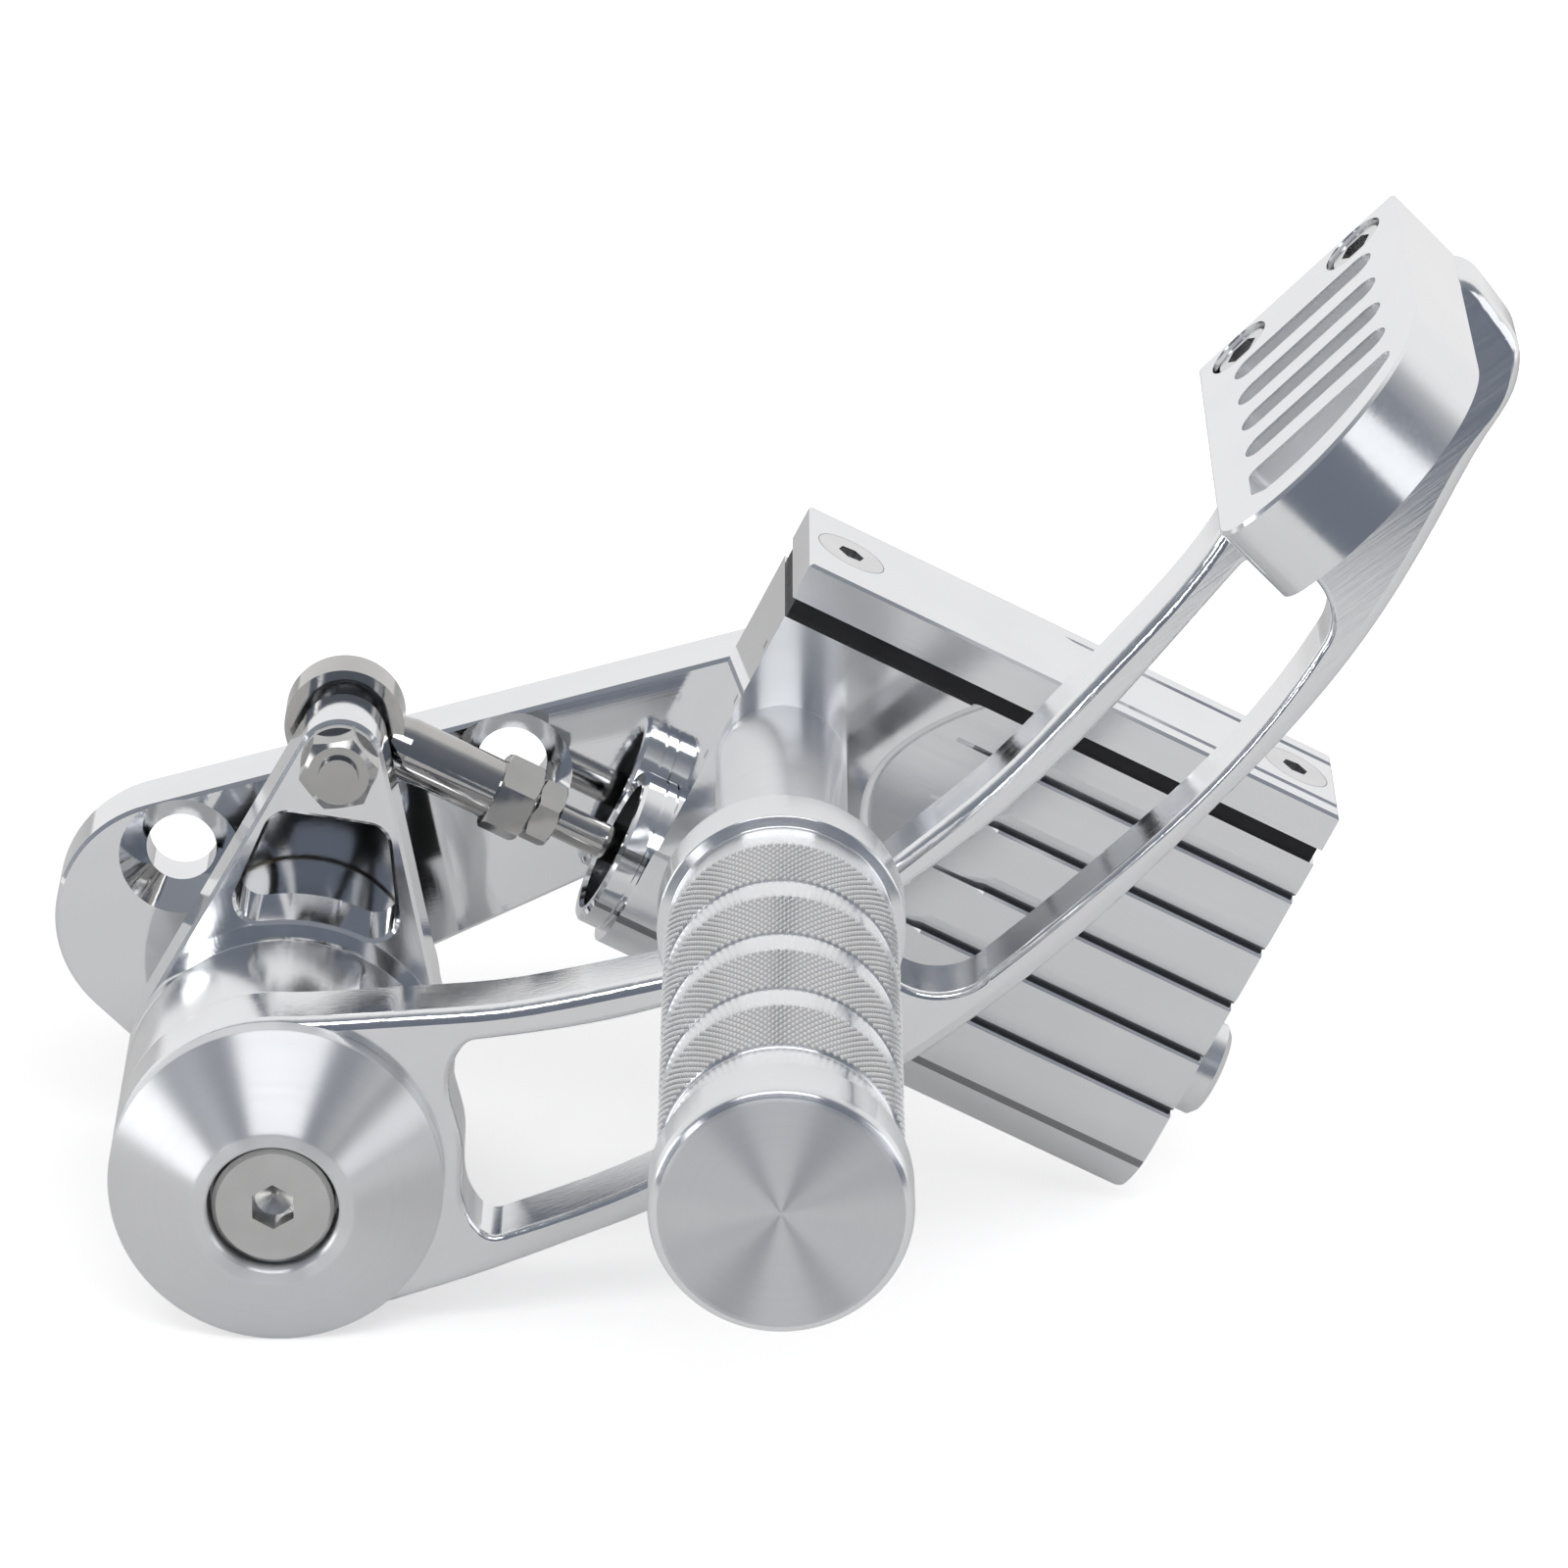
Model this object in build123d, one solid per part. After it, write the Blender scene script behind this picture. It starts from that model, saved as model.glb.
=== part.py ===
from build123d import *
import math
import os

# Motorcycle forward controls, brake side: a foot peg, a hydraulic master cylinder and its pedal on one
# mounting plate. Millimetres. +Z is up, +X runs to the rear, -Y points outboard to the rider's foot.
# The origin is midway between the two mounting bolts, on the back face of the mounting plate.

os.makedirs("parts", exist_ok=True)

# Mounting plate
plate_thickness = 12.0
plate_edge_break = 0.6
mount_spacing = 56.4
mount_line_angle = 15.6
mount_hole_dia = 11.5
countersink_dia = 20.0
plate_end_radius = 20.8
plate_end_drop = 11.4
plate_top_slope = 15.2
plate_pivot_radius = 23.0
plate_behind_body = 34.0
plate_below_top = 3.5
plate_corner_w = -7.0
plate_corner_rise = 10.8
pivot_boss_dia = 38.0
housing_screw_dia = 6.0
housing_screw_head_dia = 12.0
housing_screw_length = 20.0
housing_screw_socket = 4.0
housing_screw_socket_depth = 3.0
housing_screw_first = (14.8, 14.0)
housing_screw_last = (14.8, -15.0)

# Housing, drawn in its own slanted axes: u along the bore, w square to it and upward
slant = 27.0
housing_x = 43.5
housing_z = -0.5
rod_to_plate = 12.6
body_depth = 28.0
body_length = 95.3
body_height = 53.0
barrel_drop = 1.2
body_end_radius = 3.0
collar_length = 4.7
collar_outer_dia = 26.7
collar_mouth_dia = 21.6
collar_mouth_depth = 7.4
collar_mouth_flare = 1.6
collar_edge_break = 0.6
collar_groove_from = 1.2
collar_groove_to = 0.8
collar_groove_depth = 0.5
boss_rise = 2.2
boss_cove = 1.9
fin_pitch = 10.5
fin_first = 46.2
fin_count = 5
fin_slot_width = 0.8
fin_slot_depth = 2.0
fin_roll = 2.2
fin_roll_depth = 0.8
fin_foot = 0.5
fin_runout = 15.0
fin_tips = (36.5, 37.2, 40.0, 34.0, 24.0)

# Reservoir, its lid and diaphragm
reservoir_left_wall = 21.3
reservoir_right_wall = 14.0
reservoir_width = 20.0
reservoir_floor = 22.0
reservoir_corner = 5.0
lid_thickness = 6.4
gasket_thickness = 2.7
gasket_inset = 0.7
diaphragm_wall = 1.2
diaphragm_gap = 0.8
diaphragm_depth = 9.0
lid_screw_left_inset = 7.3
lid_screw_right_inset = 7.5
lid_screw_head_dia = 11.6
lid_screw_dia = 5.0
lid_screw_length = 18.0
lid_screw_socket = 4.0
lid_screw_socket_turn = 12.0
lid_screw_socket_depth = 2.8
lid_groove_depth = 0.9
lid_groove_width = 1.6
lid_groove_edge = 4.6
lid_groove_length = 38.0

# Hydraulic bore and outlet
bore_dia = 15.9
bore_end_wall = 16.0
outlet_w = 8.9
outlet_boss_dia = 16.0
outlet_boss_length = 5.5
outlet_thread_dia = 8.6
outlet_depth = 14.5
passage_dia = 3.0
passage_w = 6.0
inlet_port_dia = 3.0
inlet_port_u = 31.0
return_port_dia = 0.9
return_port_ahead = 1.2

# Piston, seals and return spring
piston_clearance = 0.05
stop_washer_thickness = 1.2
circlip_thickness = 1.3
circlip_groove = 1.0
stop_washer_hole = 10.4
piston_land = 3.0
piston_groove = 3.5
piston_core_dia = 11.0
piston_waist = 14.5
piston_waist_dia = 10.0
piston_head = 2.5
piston_nose_dia = 6.0
cup_length = 4.5
cup_wall = 1.6
seal_clearance = 0.1
spring_wire_dia = 1.3
spring_turns = 8
rod_socket_depth = 6.4
rod_socket_dia = 8.4

# Foot peg and its post
peg_u = 15.8
peg_w = 30.0
post_dia = 20.9
post_length = 61.6
peg_length = 116.2
peg_flange_dia = 38.1
peg_flange_length = 10.0
peg_flange_bevel = 1.8
peg_neck_dia = 34.4
peg_neck_front = 9.9
peg_neck_rear = 8.5
peg_collar_length = 9.0
knurl_dia = 36.0
knurl_bands = 4
knurl_groove = 6.6
knurl_groove_dia = 34.0
peg_bolt_dia = 10.0
peg_bolt_head_dia = 16.0
peg_bolt_head_length = 6.0
peg_bolt_seat = 5.0
peg_thread_depth = 24.0
peg_bolt_socket = 8.0
peg_bolt_socket_depth = 3.6

# Pivot: shaft, bushes, hub and cap
pivot_x = -8.35
pivot_z = -34.5
hub_dia = 52.9
shaft_dia = 20.0
shaft_in_plate = 9.0
shaft_running = 0.03
bush_outer_dia = 24.0
bush_length = 15.0
washer_thickness = 1.0
washer_play = 0.05
front_washer_dia = 27.6
rear_washer_dia = 37.0
cap_band = 3.4
cap_cone = 9.8
cap_lip_dia = 26.4
cap_recess_dia = 20.8
cap_web = 2.3
pivot_bolt_head_dia = 19.3
pivot_bolt_head_length = 7.5
pivot_bolt_dia = 8.0
pivot_bolt_length = 24.0
pivot_bolt_sink = 1.2
pivot_bolt_socket = 6.5
pivot_bolt_socket_depth = 4.0
pivot_bolt_drill_dia = 6.4
hub_screw_circle = 38.0
hub_screw_dia = 5.0
hub_screw_head_dia = 8.5
hub_screw_head_length = 5.0
hub_screw_sink = 0.4
hub_screw_socket = 4.0
hub_screw_count = 3
hub_screw_phase = 75.0
dowel_dia = 5.0
dowel_length = 34.0
dowel_phase = 15.0
dowel_count = 2

# Crank lever, arm and toe pad, laid out along the pivot axis
lever_thickness = 12.0
lever_behind = 19.6
lever_boss = 4.0
lever_tip_dx = 9.25
lever_tip_dz = 55.6
lever_tip_radius = 6.9
lever_window_top = 46.2
lever_window_floor = 1.7
lever_window_top_wall = 1.9
lever_window_low_wall = 3.4
lever_window_radius = 3.8
hub_length = 22.0
arm_thickness = 12.0
arm_edge_round = 2.0
window_edge_round = 1.0
arm_seat_dx = 153.05
arm_seat_dz = 119.8
arm_post_gap = 2.5
arm_heel_dx = 9.76
arm_heel_dz = 14.78
pad_angle = 44.2
pad_width = 41.0
pad_thickness = 13.7
pad_inboard_lap = 0.5
pad_reach = 82.1
pad_nose_radius = 26.8
pad_corner_radius = 7.0
pad_slot_length = 28.2
pad_slot_width = 6.5
pad_slot_pitch = 12.0
pad_slot_count = 4
pad_slot_depth = 5.2
pad_slot_first = 17.9
pad_slot_margin = 6.8
pad_screw_first = 8.4
pad_screw_pitch = 23.8
pad_screw_dia = 6.0
pad_screw_head_dia = 10.0
pad_screw_head_length = 6.0
pad_screw_sink = 6.6
pad_screw_grip = 16.0
pad_screw_socket = 5.0
pad_screw_socket_depth = 3.2
pad_screw_room = 0.5
pad_edge_break = 0.5
pad_pocket_gap = 3.0
pad_pocket_side = 16.0
pad_pocket_middle = (22.0, 8.2)
pad_pocket_foot = (2.6, 7.4)
pad_pocket_heel = 10.0
pad_pocket_round = 1.6

# Pushrod and rod end
rod_reach = 60.0
rod_dia = 5.8
rod_thread_engage = 12.0
eye_dia = 19.3
eye_thickness = 7.2
race_dia = 15.6
race_thickness = 6.6
ball_dia = 13.0
ball_width = 9.5
ball_running = 0.05
link_dia = 6.35
shank_dia = 10.0
shank_hex = 12.0
shank_hex_length = 6.3
shank_length = 33.0
jam_nut_hex = 9.6
jam_nut_length = 4.3
jam_nut_gap = 0.5
link_spacer_dia = 9.8
link_head_hex = 10.0
link_head_length = 4.2
link_nut_hex = 11.1
link_nut_length = 6.8
link_nut_flange_dia = 12.5
link_nut_flange = 1.6
link_stud_out = 1.2
link_head_turn = 20.0
link_nut_turn = 8.0
hex_corner_up = 30.0
fit_clearance = 0.01
thread_clearance = 0.02
hole_clearance = 0.2

# Places along Y, from the back of the plate outward
plate_front = -plate_thickness
bore_y = plate_front - rod_to_plate
body_front = bore_y - body_depth / 2
boss_face = body_front - boss_rise
lever_back = plate_front - lever_behind
lever_front = lever_back - lever_thickness
lever_face = lever_front - lever_boss
arm_back = lever_face - hub_length
arm_front = arm_back - arm_thickness
cap_back = arm_front - 2 * washer_play
cap_rim = cap_back - cap_band
cap_front = cap_rim - cap_cone
shaft_front = cap_back - cap_web
boss_end = lever_back + washer_thickness + 2 * washer_play
peg_rear = boss_face - post_length
peg_front = peg_rear - peg_length
link_spacer_length = bore_y - ball_width / 2 - lever_back

# Places along u
body_left = collar_length
body_right = body_left + body_length
reservoir_left = body_left + reservoir_left_wall
reservoir_right = body_right - reservoir_right_wall
bore_end = body_right - bore_end_wall
lid_bottom = body_height + gasket_thickness
lid_top = lid_bottom + lid_thickness
barrel_radius = body_depth / 2
piston_rear = collar_mouth_depth + circlip_thickness + stop_washer_thickness
piston_head_end = piston_rear + 2 * piston_land + piston_groove + piston_waist + piston_head
cup_end = piston_head_end + cup_length

housing_place = Location((housing_x, 0, housing_z), (0, slant, 0))
pad_place = Location((pivot_x + arm_seat_dx, 0, pivot_z + arm_seat_dz), (0, -pad_angle, 0))
slant_cos = math.cos(math.radians(slant))
slant_sin = math.sin(math.radians(slant))


def to_xz(u, w):
    """Row place of a point given in the housing's own slanted axes."""
    return (housing_x + u * slant_cos + w * slant_sin, housing_z - u * slant_sin + w * slant_cos)


def to_uw(x, z):
    """The housing's own slanted axes of a point given in X and Z."""
    dx = x - housing_x
    dz = z - housing_z
    return (dx * slant_cos - dz * slant_sin, dx * slant_sin + dz * slant_cos)


peg_x, peg_z = to_xz(peg_u, peg_w)
tip_x = pivot_x + lever_tip_dx
tip_z = pivot_z + lever_tip_dz


def slab(drawing, front, back):
    """A drawing in X and Z, given thickness from the back face to the front face."""
    return extrude(Plane.XZ.offset(-back) * drawing, back - front)


def face_of(points):
    return make_face(Polyline(*points, close=True))


def turned(points):
    """A turned piece round the Y axis from (radius, y) points."""
    return revolve(face_of(points), Axis.Y)


def turned_at(x, z, points):
    return Pos(x, 0, z) * turned(points)


def rod(x, z, radius, front, back):
    """A plain round bar along Y."""
    return turned_at(x, z, [(0, front), (radius, front), (radius, back), (0, back)])


def bore_turned(points, w=0.0):
    """A piece turned round the bore axis from (u, radius) points, in slanted axes."""
    return Pos(0, bore_y, w) * revolve(face_of(points), Axis.X)


def bore_rod(radius, start, end, w=0.0):
    return bore_turned([(start, 0), (start, radius), (end, radius), (end, 0)], w)


def ring_y(x, z, inner, outer, front, back):
    return turned_at(x, z, [(inner, front), (outer, front), (outer, back), (inner, back)])


def hex_drawing(across_flats, turn=0.0):
    return RegularPolygon(across_flats / math.sqrt(3), 6, rotation=turn)


def hull_of_circles(x1, z1, r1, x2, z2, r2):
    """The outline of a belt round two circles, in X and Z."""
    return make_hull(Sketch([Pos(x1, z1) * Circle(r1), Pos(x2, z2) * Circle(r2)]).edges())


def front_edges(piece):
    return piece.edges().group_by(Axis.Y)[0]


def mount_place(side):
    """Centre of one mounting hole: side -1 is the front hole, +1 the rear one."""
    half = side * mount_spacing / 2
    angle = math.radians(mount_line_angle)
    return (half * math.cos(angle), half * math.sin(angle))


# Mounting plate, drawn as the belt round its end lobe and the pivot lobe, with a straight top edge
def plate_outline():
    end_x, end_z = mount_place(-1)
    end_z -= plate_end_drop
    lobe = Pos(end_x, end_z) * Circle(plate_end_radius)
    slope = math.radians(plate_top_slope)
    top_x = end_x - plate_end_radius * math.sin(slope)
    top_z = end_z + plate_end_radius * math.cos(slope)
    top_u, top_w = to_uw(top_x, top_z)
    head_w = body_height - plate_below_top
    meet_u = top_u + (head_w - top_w) / math.tan(slope + math.radians(slant))
    right_u = body_left + plate_behind_body
    web = face_of([
        (top_x, top_z), to_xz(meet_u, head_w), to_xz(right_u, head_w),
        to_xz(right_u, -barrel_drop), to_xz(body_left, plate_corner_w),
        (pivot_x + plate_pivot_radius - 1.0, pivot_z + plate_corner_rise), (pivot_x, pivot_z),
        (end_x, end_z),
    ])
    belt = hull_of_circles(end_x, end_z, plate_end_radius, pivot_x, pivot_z, plate_pivot_radius)
    return lobe + web + belt


def countersunk_hole(x, z):
    """A through hole with a ninety degree sink in the front face of the plate."""
    hole = mount_hole_dia / 2
    sink = countersink_dia / 2
    return turned_at(x, z, [
        (0, 1), (hole, 1), (hole, plate_front + sink - hole), (sink + 1, plate_front - 1),
        (0, plate_front - 1),
    ])


def housing_screw_places():
    return [to_xz(u, peg_w + w) for u, w in (housing_screw_first, housing_screw_last)]


def housing_screw_points(clearance, out=0.0):
    """Half section of a countersunk screw in the back of the plate, as (radius, y) points."""
    head = housing_screw_head_dia / 2 + clearance
    shank = housing_screw_dia / 2 + clearance
    return [(0, out), (head, out), (head, -0.4), (shank, -0.4 - head + shank),
            (shank, -housing_screw_length - out), (0, -housing_screw_length - out)]


def mounting_plate():
    plate = slab(plate_outline(), plate_front, 0)
    plate = chamfer(front_edges(plate), plate_edge_break)
    for side in (-1, 1):
        plate -= countersunk_hole(*mount_place(side))
    plate += rod(pivot_x, pivot_z, pivot_boss_dia / 2, boss_end, plate_front)
    plate -= rod(pivot_x, pivot_z, shaft_dia / 2 + fit_clearance, boss_end - 1,
                 plate_front + shaft_in_plate)
    plate -= rod(peg_x, peg_z, peg_bolt_dia / 2 + hole_clearance, plate_front - 1, 1)
    sink = peg_bolt_head_dia / 2 + 2 * hole_clearance
    plate -= rod(peg_x, peg_z, sink, plate_front + peg_bolt_seat, 1)
    for x, z in housing_screw_places():
        plate -= turned_at(x, z, housing_screw_points(hole_clearance, 1.0))
    return plate


def housing_screws():
    """Two countersunk screws that hold the housing on the plate, hidden behind it."""
    screws = []
    for x, z in housing_screw_places():
        socket = slab(Pos(x, z) * hex_drawing(housing_screw_socket), -housing_screw_socket_depth, 1)
        screws.append(turned_at(x, z, housing_screw_points(0.0)) - socket)
    return Compound(screws)


# Billet housing: reservoir block over a round barrel, flat where it stands on the plate
def body_block():
    section = Rectangle(body_depth, body_height + barrel_drop, align=(Align.CENTER, Align.MIN))
    section = Pos(0, -barrel_drop) * section + Pos(0, -barrel_drop) * Circle(barrel_radius)
    block = extrude(Plane.YZ * Pos(bore_y, 0) * section, body_length)
    side = Rectangle(body_length, body_height + barrel_drop + barrel_radius, align=Align.MIN)
    side = fillet(side.vertices().group_by(Axis.Y)[0].sort_by(Axis.X)[-1], body_end_radius)
    side = Pos(0, -barrel_drop - barrel_radius) * side
    side = slab(side, body_front - 1, plate_front)
    return Pos(body_left, 0, 0) * (block & side)


def boss_outline():
    """The raised flat round the post, swept out to the right along the top edge."""
    top = (peg_u + 22.4, body_height)
    corner = (peg_u + 19.4, peg_w - 8.0)
    foot = (body_left, peg_w - 22.0)
    sweep = Spline(top, (peg_u + 15.4, peg_w + 13.0), (peg_u + 13.4, peg_w + 6.0),
                   (peg_u + 14.6, peg_w - 1.0), corner)
    lower = Spline(corner, (peg_u + 15.7, peg_w - 17.4), (peg_u + 2.2, peg_w - 21.6), foot)
    edges = [sweep, lower, Line(foot, (body_left, body_height)), Line((body_left, body_height), top)]
    return make_face(edges)


def fin_section(face_y, w):
    """A slot whose upper edge rolls over from the face in two steps, like a tile's."""
    slot = fin_slot_width / 2
    high = w + slot + fin_roll
    return face_of([
        (face_y - 1, high), (face_y, high), (face_y + 0.3 * fin_roll_depth, w + slot + 0.5 * fin_roll),
        (face_y + fin_roll_depth, w + slot), (face_y + fin_slot_depth, w + slot),
        (face_y + fin_slot_depth, w - slot), (face_y + fin_foot / 2, w - slot),
        (face_y, w - slot - fin_foot), (face_y - 1, w - slot - fin_foot),
    ])


def fin_cut(face_y, w, tip):
    """One fin slot: full depth to the right end, rising out of the face to a point at its tip."""
    start = tip + fin_runout
    section = Plane.YZ.offset(start) * fin_section(face_y, w)
    straight = extrude(section, body_right + 1 - start)
    rise = fin_slot_depth + 0.4
    length = math.hypot(fin_runout, rise)
    out = extrude(section, length, dir=(-fin_runout / length, -rise / length, 0))
    return straight + out


def lid_screw_places():
    return (body_left + lid_screw_left_inset, body_right - lid_screw_right_inset)


def housing():
    block = body_block() + slab(boss_outline(), boss_face, body_front)
    foot = [edge for edge in block.edges().filter_by(GeomType.BSPLINE)
            if abs(edge.center().Y - body_front) < boss_rise / 4]
    block = fillet(foot, boss_cove)
    for index in range(fin_count):
        block -= fin_cut(body_front, fin_first - index * fin_pitch, fin_tips[index % len(fin_tips)])
    collar = collar_outer_dia / 2
    block += bore_turned([
        (0, 0), (0, collar - collar_edge_break), (collar_edge_break, collar),
        (collar_length - collar_groove_from, collar),
        (collar_length - collar_groove_from, collar - collar_groove_depth),
        (collar_length - collar_groove_to, collar - collar_groove_depth),
        (collar_length - collar_groove_to, collar), (collar_length + 1, collar), (collar_length + 1, 0),
    ])
    outlet = outlet_boss_dia / 2
    outlet_end = body_right + outlet_boss_length
    block += bore_turned([
        (body_right - 1, 0), (body_right - 1, outlet), (outlet_end - 1, outlet),
        (outlet_end, outlet - 1), (outlet_end, 0),
    ], outlet_w)
    cavity = RectangleRounded(reservoir_right - reservoir_left, reservoir_width, reservoir_corner)
    cavity = Pos((reservoir_left + reservoir_right) / 2, bore_y, reservoir_floor) * cavity
    block -= extrude(cavity, body_height + 1 - reservoir_floor)
    mouth = collar_mouth_dia / 2
    clip = mouth + circlip_groove
    block -= bore_turned([
        (-1, 0), (-1, mouth + collar_mouth_flare), (collar_mouth_flare - 1, mouth),
        (collar_mouth_depth, mouth),
        (collar_mouth_depth, clip), (collar_mouth_depth + circlip_thickness, clip),
        (collar_mouth_depth + circlip_thickness, mouth), (piston_rear, mouth),
        (piston_rear, bore_dia / 2), (bore_end, bore_dia / 2), (bore_end, 0),
    ])
    block -= bore_rod(outlet_thread_dia / 2, outlet_end - outlet_depth, outlet_end + 1, outlet_w)
    block -= bore_rod(passage_dia / 2, bore_end - 1, outlet_end - outlet_depth + 1, passage_w)
    for place, width in ((inlet_port_u, inlet_port_dia), (cup_end + return_port_ahead, return_port_dia)):
        port = Cylinder(width / 2, reservoir_floor + 1, align=(Align.CENTER, Align.CENTER, Align.MIN))
        block -= Pos(place, bore_y, 0) * port
    for place in lid_screw_places():
        hole = Cylinder(lid_screw_dia / 2 + thread_clearance, lid_screw_length + 2)
        block -= Pos(place, bore_y, lid_top - lid_screw_length / 2) * hole
    length = outlet_end + body_height
    behind = slab(Rectangle(2 * length, 2 * length), plate_front, plate_front + body_depth)
    whole = housing_place * (block - behind)
    whole -= rod(peg_x, peg_z, peg_bolt_dia / 2 + hole_clearance, boss_face - 1, plate_front + 1)
    for x, z in housing_screw_places():
        hole = housing_screw_dia / 2 + thread_clearance
        whole -= rod(x, z, hole, -housing_screw_length - 2, plate_front + 1)
    return whole


# Lid, diaphragm and lid screws close the reservoir
def lid_screw_turned(place, points):
    """A piece turned round a lid screw's axis, from (radius, height above the lid) points."""
    return Pos(place, bore_y, lid_top) * revolve(Plane.XZ * face_of(points), Axis.Z)


def lid_screw_cutter(place):
    head = lid_screw_head_dia / 2 + hole_clearance / 2
    shank = lid_screw_dia / 2 + hole_clearance
    low = -lid_thickness - gasket_thickness - 1
    return lid_screw_turned(place, [
        (0, 1), (head, 1), (head, -0.4), (shank, -0.4 - head + shank), (shank, low), (0, low),
    ])


def reservoir_lid():
    outline = Rectangle(body_length, body_depth)
    middle = (body_left + body_right) / 2
    lid = Pos(middle, bore_y, lid_bottom) * extrude(outline, lid_thickness)
    lid = chamfer(lid.edges().group_by(Axis.Z)[-1], pad_edge_break)
    for side in (-1, 1):
        y = bore_y + side * (body_depth / 2 - lid_groove_edge)
        width = lid_groove_width / 2
        section = face_of([
            (y - width, lid_top + 1), (y - width, lid_top), (y - width / 2, lid_top - lid_groove_depth),
            (y + width / 2, lid_top - lid_groove_depth), (y + width, lid_top), (y + width, lid_top + 1),
        ])
        section = Plane.YZ.offset(body_right - lid_groove_length) * section
        lid -= extrude(section, lid_groove_length + 1)
        rise = lid_groove_depth + 0.3
        length = math.hypot(fin_runout, rise)
        lid -= extrude(section, length, dir=(-fin_runout / length, 0, rise / length))
    for place in lid_screw_places():
        lid -= lid_screw_cutter(place)
    return housing_place * lid


def diaphragm():
    middle = (body_left + body_right) / 2
    plate = Rectangle(body_length - 2 * gasket_inset, body_depth - 2 * gasket_inset)
    gasket = Pos(middle, bore_y, body_height) * extrude(plate, gasket_thickness)
    long = reservoir_right - reservoir_left - 2 * diaphragm_gap
    wide = reservoir_width - 2 * diaphragm_gap
    centre = (reservoir_left + reservoir_right) / 2
    corner = reservoir_corner - diaphragm_gap
    bag = Pos(centre, bore_y, body_height - diaphragm_depth) * extrude(
        RectangleRounded(long, wide, corner), diaphragm_depth + gasket_thickness / 2)
    wall = 2 * diaphragm_wall
    hollow = RectangleRounded(long - wall, wide - wall, corner - diaphragm_wall)
    hollow = Pos(centre, bore_y, body_height - diaphragm_depth + diaphragm_wall) * extrude(
        hollow, diaphragm_depth + gasket_thickness)
    piece = gasket + bag - hollow
    for place in lid_screw_places():
        hole = Cylinder(lid_screw_dia / 2 + hole_clearance, 4 * gasket_thickness)
        piece -= Pos(place, bore_y, body_height) * hole
    return housing_place * piece


def lid_screws():
    screws = []
    head = lid_screw_head_dia / 2
    shank = lid_screw_dia / 2
    for place in lid_screw_places():
        screw = lid_screw_turned(place, [
            (0, 0), (head, 0), (head, -0.5), (shank, -0.5 - head + shank),
            (shank, -lid_screw_length), (0, -lid_screw_length),
        ])
        socket = extrude(hex_drawing(lid_screw_socket, lid_screw_socket_turn), -lid_screw_socket_depth)
        screws.append(housing_place * (screw - Pos(place, bore_y, lid_top) * socket))
    return Compound(screws)


# Foot peg: a knurled sleeve on a turned post, drawn onto the housing by one long bolt
def peg_sleeve():
    flange = peg_flange_dia / 2
    neck = peg_neck_dia / 2
    knurl = knurl_dia / 2
    groove = knurl_groove_dia / 2
    first = peg_front + peg_flange_length + peg_neck_front
    last = peg_rear - peg_collar_length - peg_neck_rear
    band = (last - first - (knurl_bands - 1) * knurl_groove) / knurl_bands
    bevel = peg_flange_bevel
    points = [(0, peg_front), (flange - bevel, peg_front), (flange - bevel / 4, peg_front + bevel / 3),
              (flange, peg_front + bevel), (flange, peg_front + peg_flange_length - 0.5),
              (flange - 0.5, peg_front + peg_flange_length),
              (neck, peg_front + peg_flange_length + 0.4), (neck, first - 0.5)]
    y = first
    for index in range(knurl_bands):
        points += [(knurl, y + 0.3), (knurl, y + band - 0.3)]
        if index < knurl_bands - 1:
            for share in (0.0, 0.2, 0.5, 0.8, 1.0):
                sag = math.sin(math.pi * share)
                radius = knurl - 0.3 - (knurl - 0.3 - groove) * sag
                points.append((radius, y + band + share * knurl_groove))
        y += band + knurl_groove
    points += [(neck, last + 0.5), (neck, peg_rear - peg_collar_length - 0.4),
               (flange - 0.5, peg_rear - peg_collar_length), (flange, peg_rear - peg_collar_length + 0.5),
               (flange, peg_rear - 0.6), (flange - 0.6, peg_rear), (0, peg_rear)]
    sleeve = turned_at(peg_x, peg_z, points)
    thread = peg_bolt_dia / 2 + thread_clearance
    return sleeve - rod(peg_x, peg_z, thread, peg_rear - peg_thread_depth, peg_rear + 1)


def peg_post():
    outer = post_dia / 2
    inner = peg_bolt_dia / 2 + hole_clearance
    return turned_at(peg_x, peg_z, [
        (inner, peg_rear), (outer, peg_rear), (outer, boss_face - 0.2), (outer - 0.2, boss_face),
        (inner, boss_face),
    ])


def peg_bolt():
    head = peg_bolt_head_dia / 2
    shank = peg_bolt_dia / 2
    seat = plate_front + peg_bolt_seat
    top = seat + peg_bolt_head_length
    bolt = turned_at(peg_x, peg_z, [
        (0, peg_rear - peg_thread_depth + 2), (shank, peg_rear - peg_thread_depth + 2), (shank, seat),
        (head, seat), (head, top - 0.8), (head - 0.8, top), (0, top),
    ])
    socket = extrude(Plane.XZ * hex_drawing(peg_bolt_socket), peg_bolt_socket_depth)
    return bolt - Pos(peg_x, top, peg_z) * socket


# Pivot: fixed shaft, bushes, washers, cap and bolt
def pivot_shaft():
    radius = shaft_dia / 2
    back = plate_front + shaft_in_plate
    shaft = turned_at(pivot_x, pivot_z, [
        (0, shaft_front), (radius - 0.6, shaft_front), (radius, shaft_front + 0.6),
        (radius, back - 0.6), (radius - 0.6, back), (0, back),
    ])
    thread = pivot_bolt_dia / 2 + thread_clearance
    depth = pivot_bolt_length + 3
    return shaft - rod(pivot_x, pivot_z, thread, shaft_front - 1, shaft_front + depth)


def pivot_bushes():
    inner = shaft_dia / 2 + shaft_running
    outer = bush_outer_dia / 2
    front = arm_front + washer_thickness + washer_play
    first = ring_y(pivot_x, pivot_z, inner, outer, front, front + bush_length)
    last = ring_y(pivot_x, pivot_z, inner, outer, lever_back - bush_length, lever_back)
    return Compound([first, last])


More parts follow.
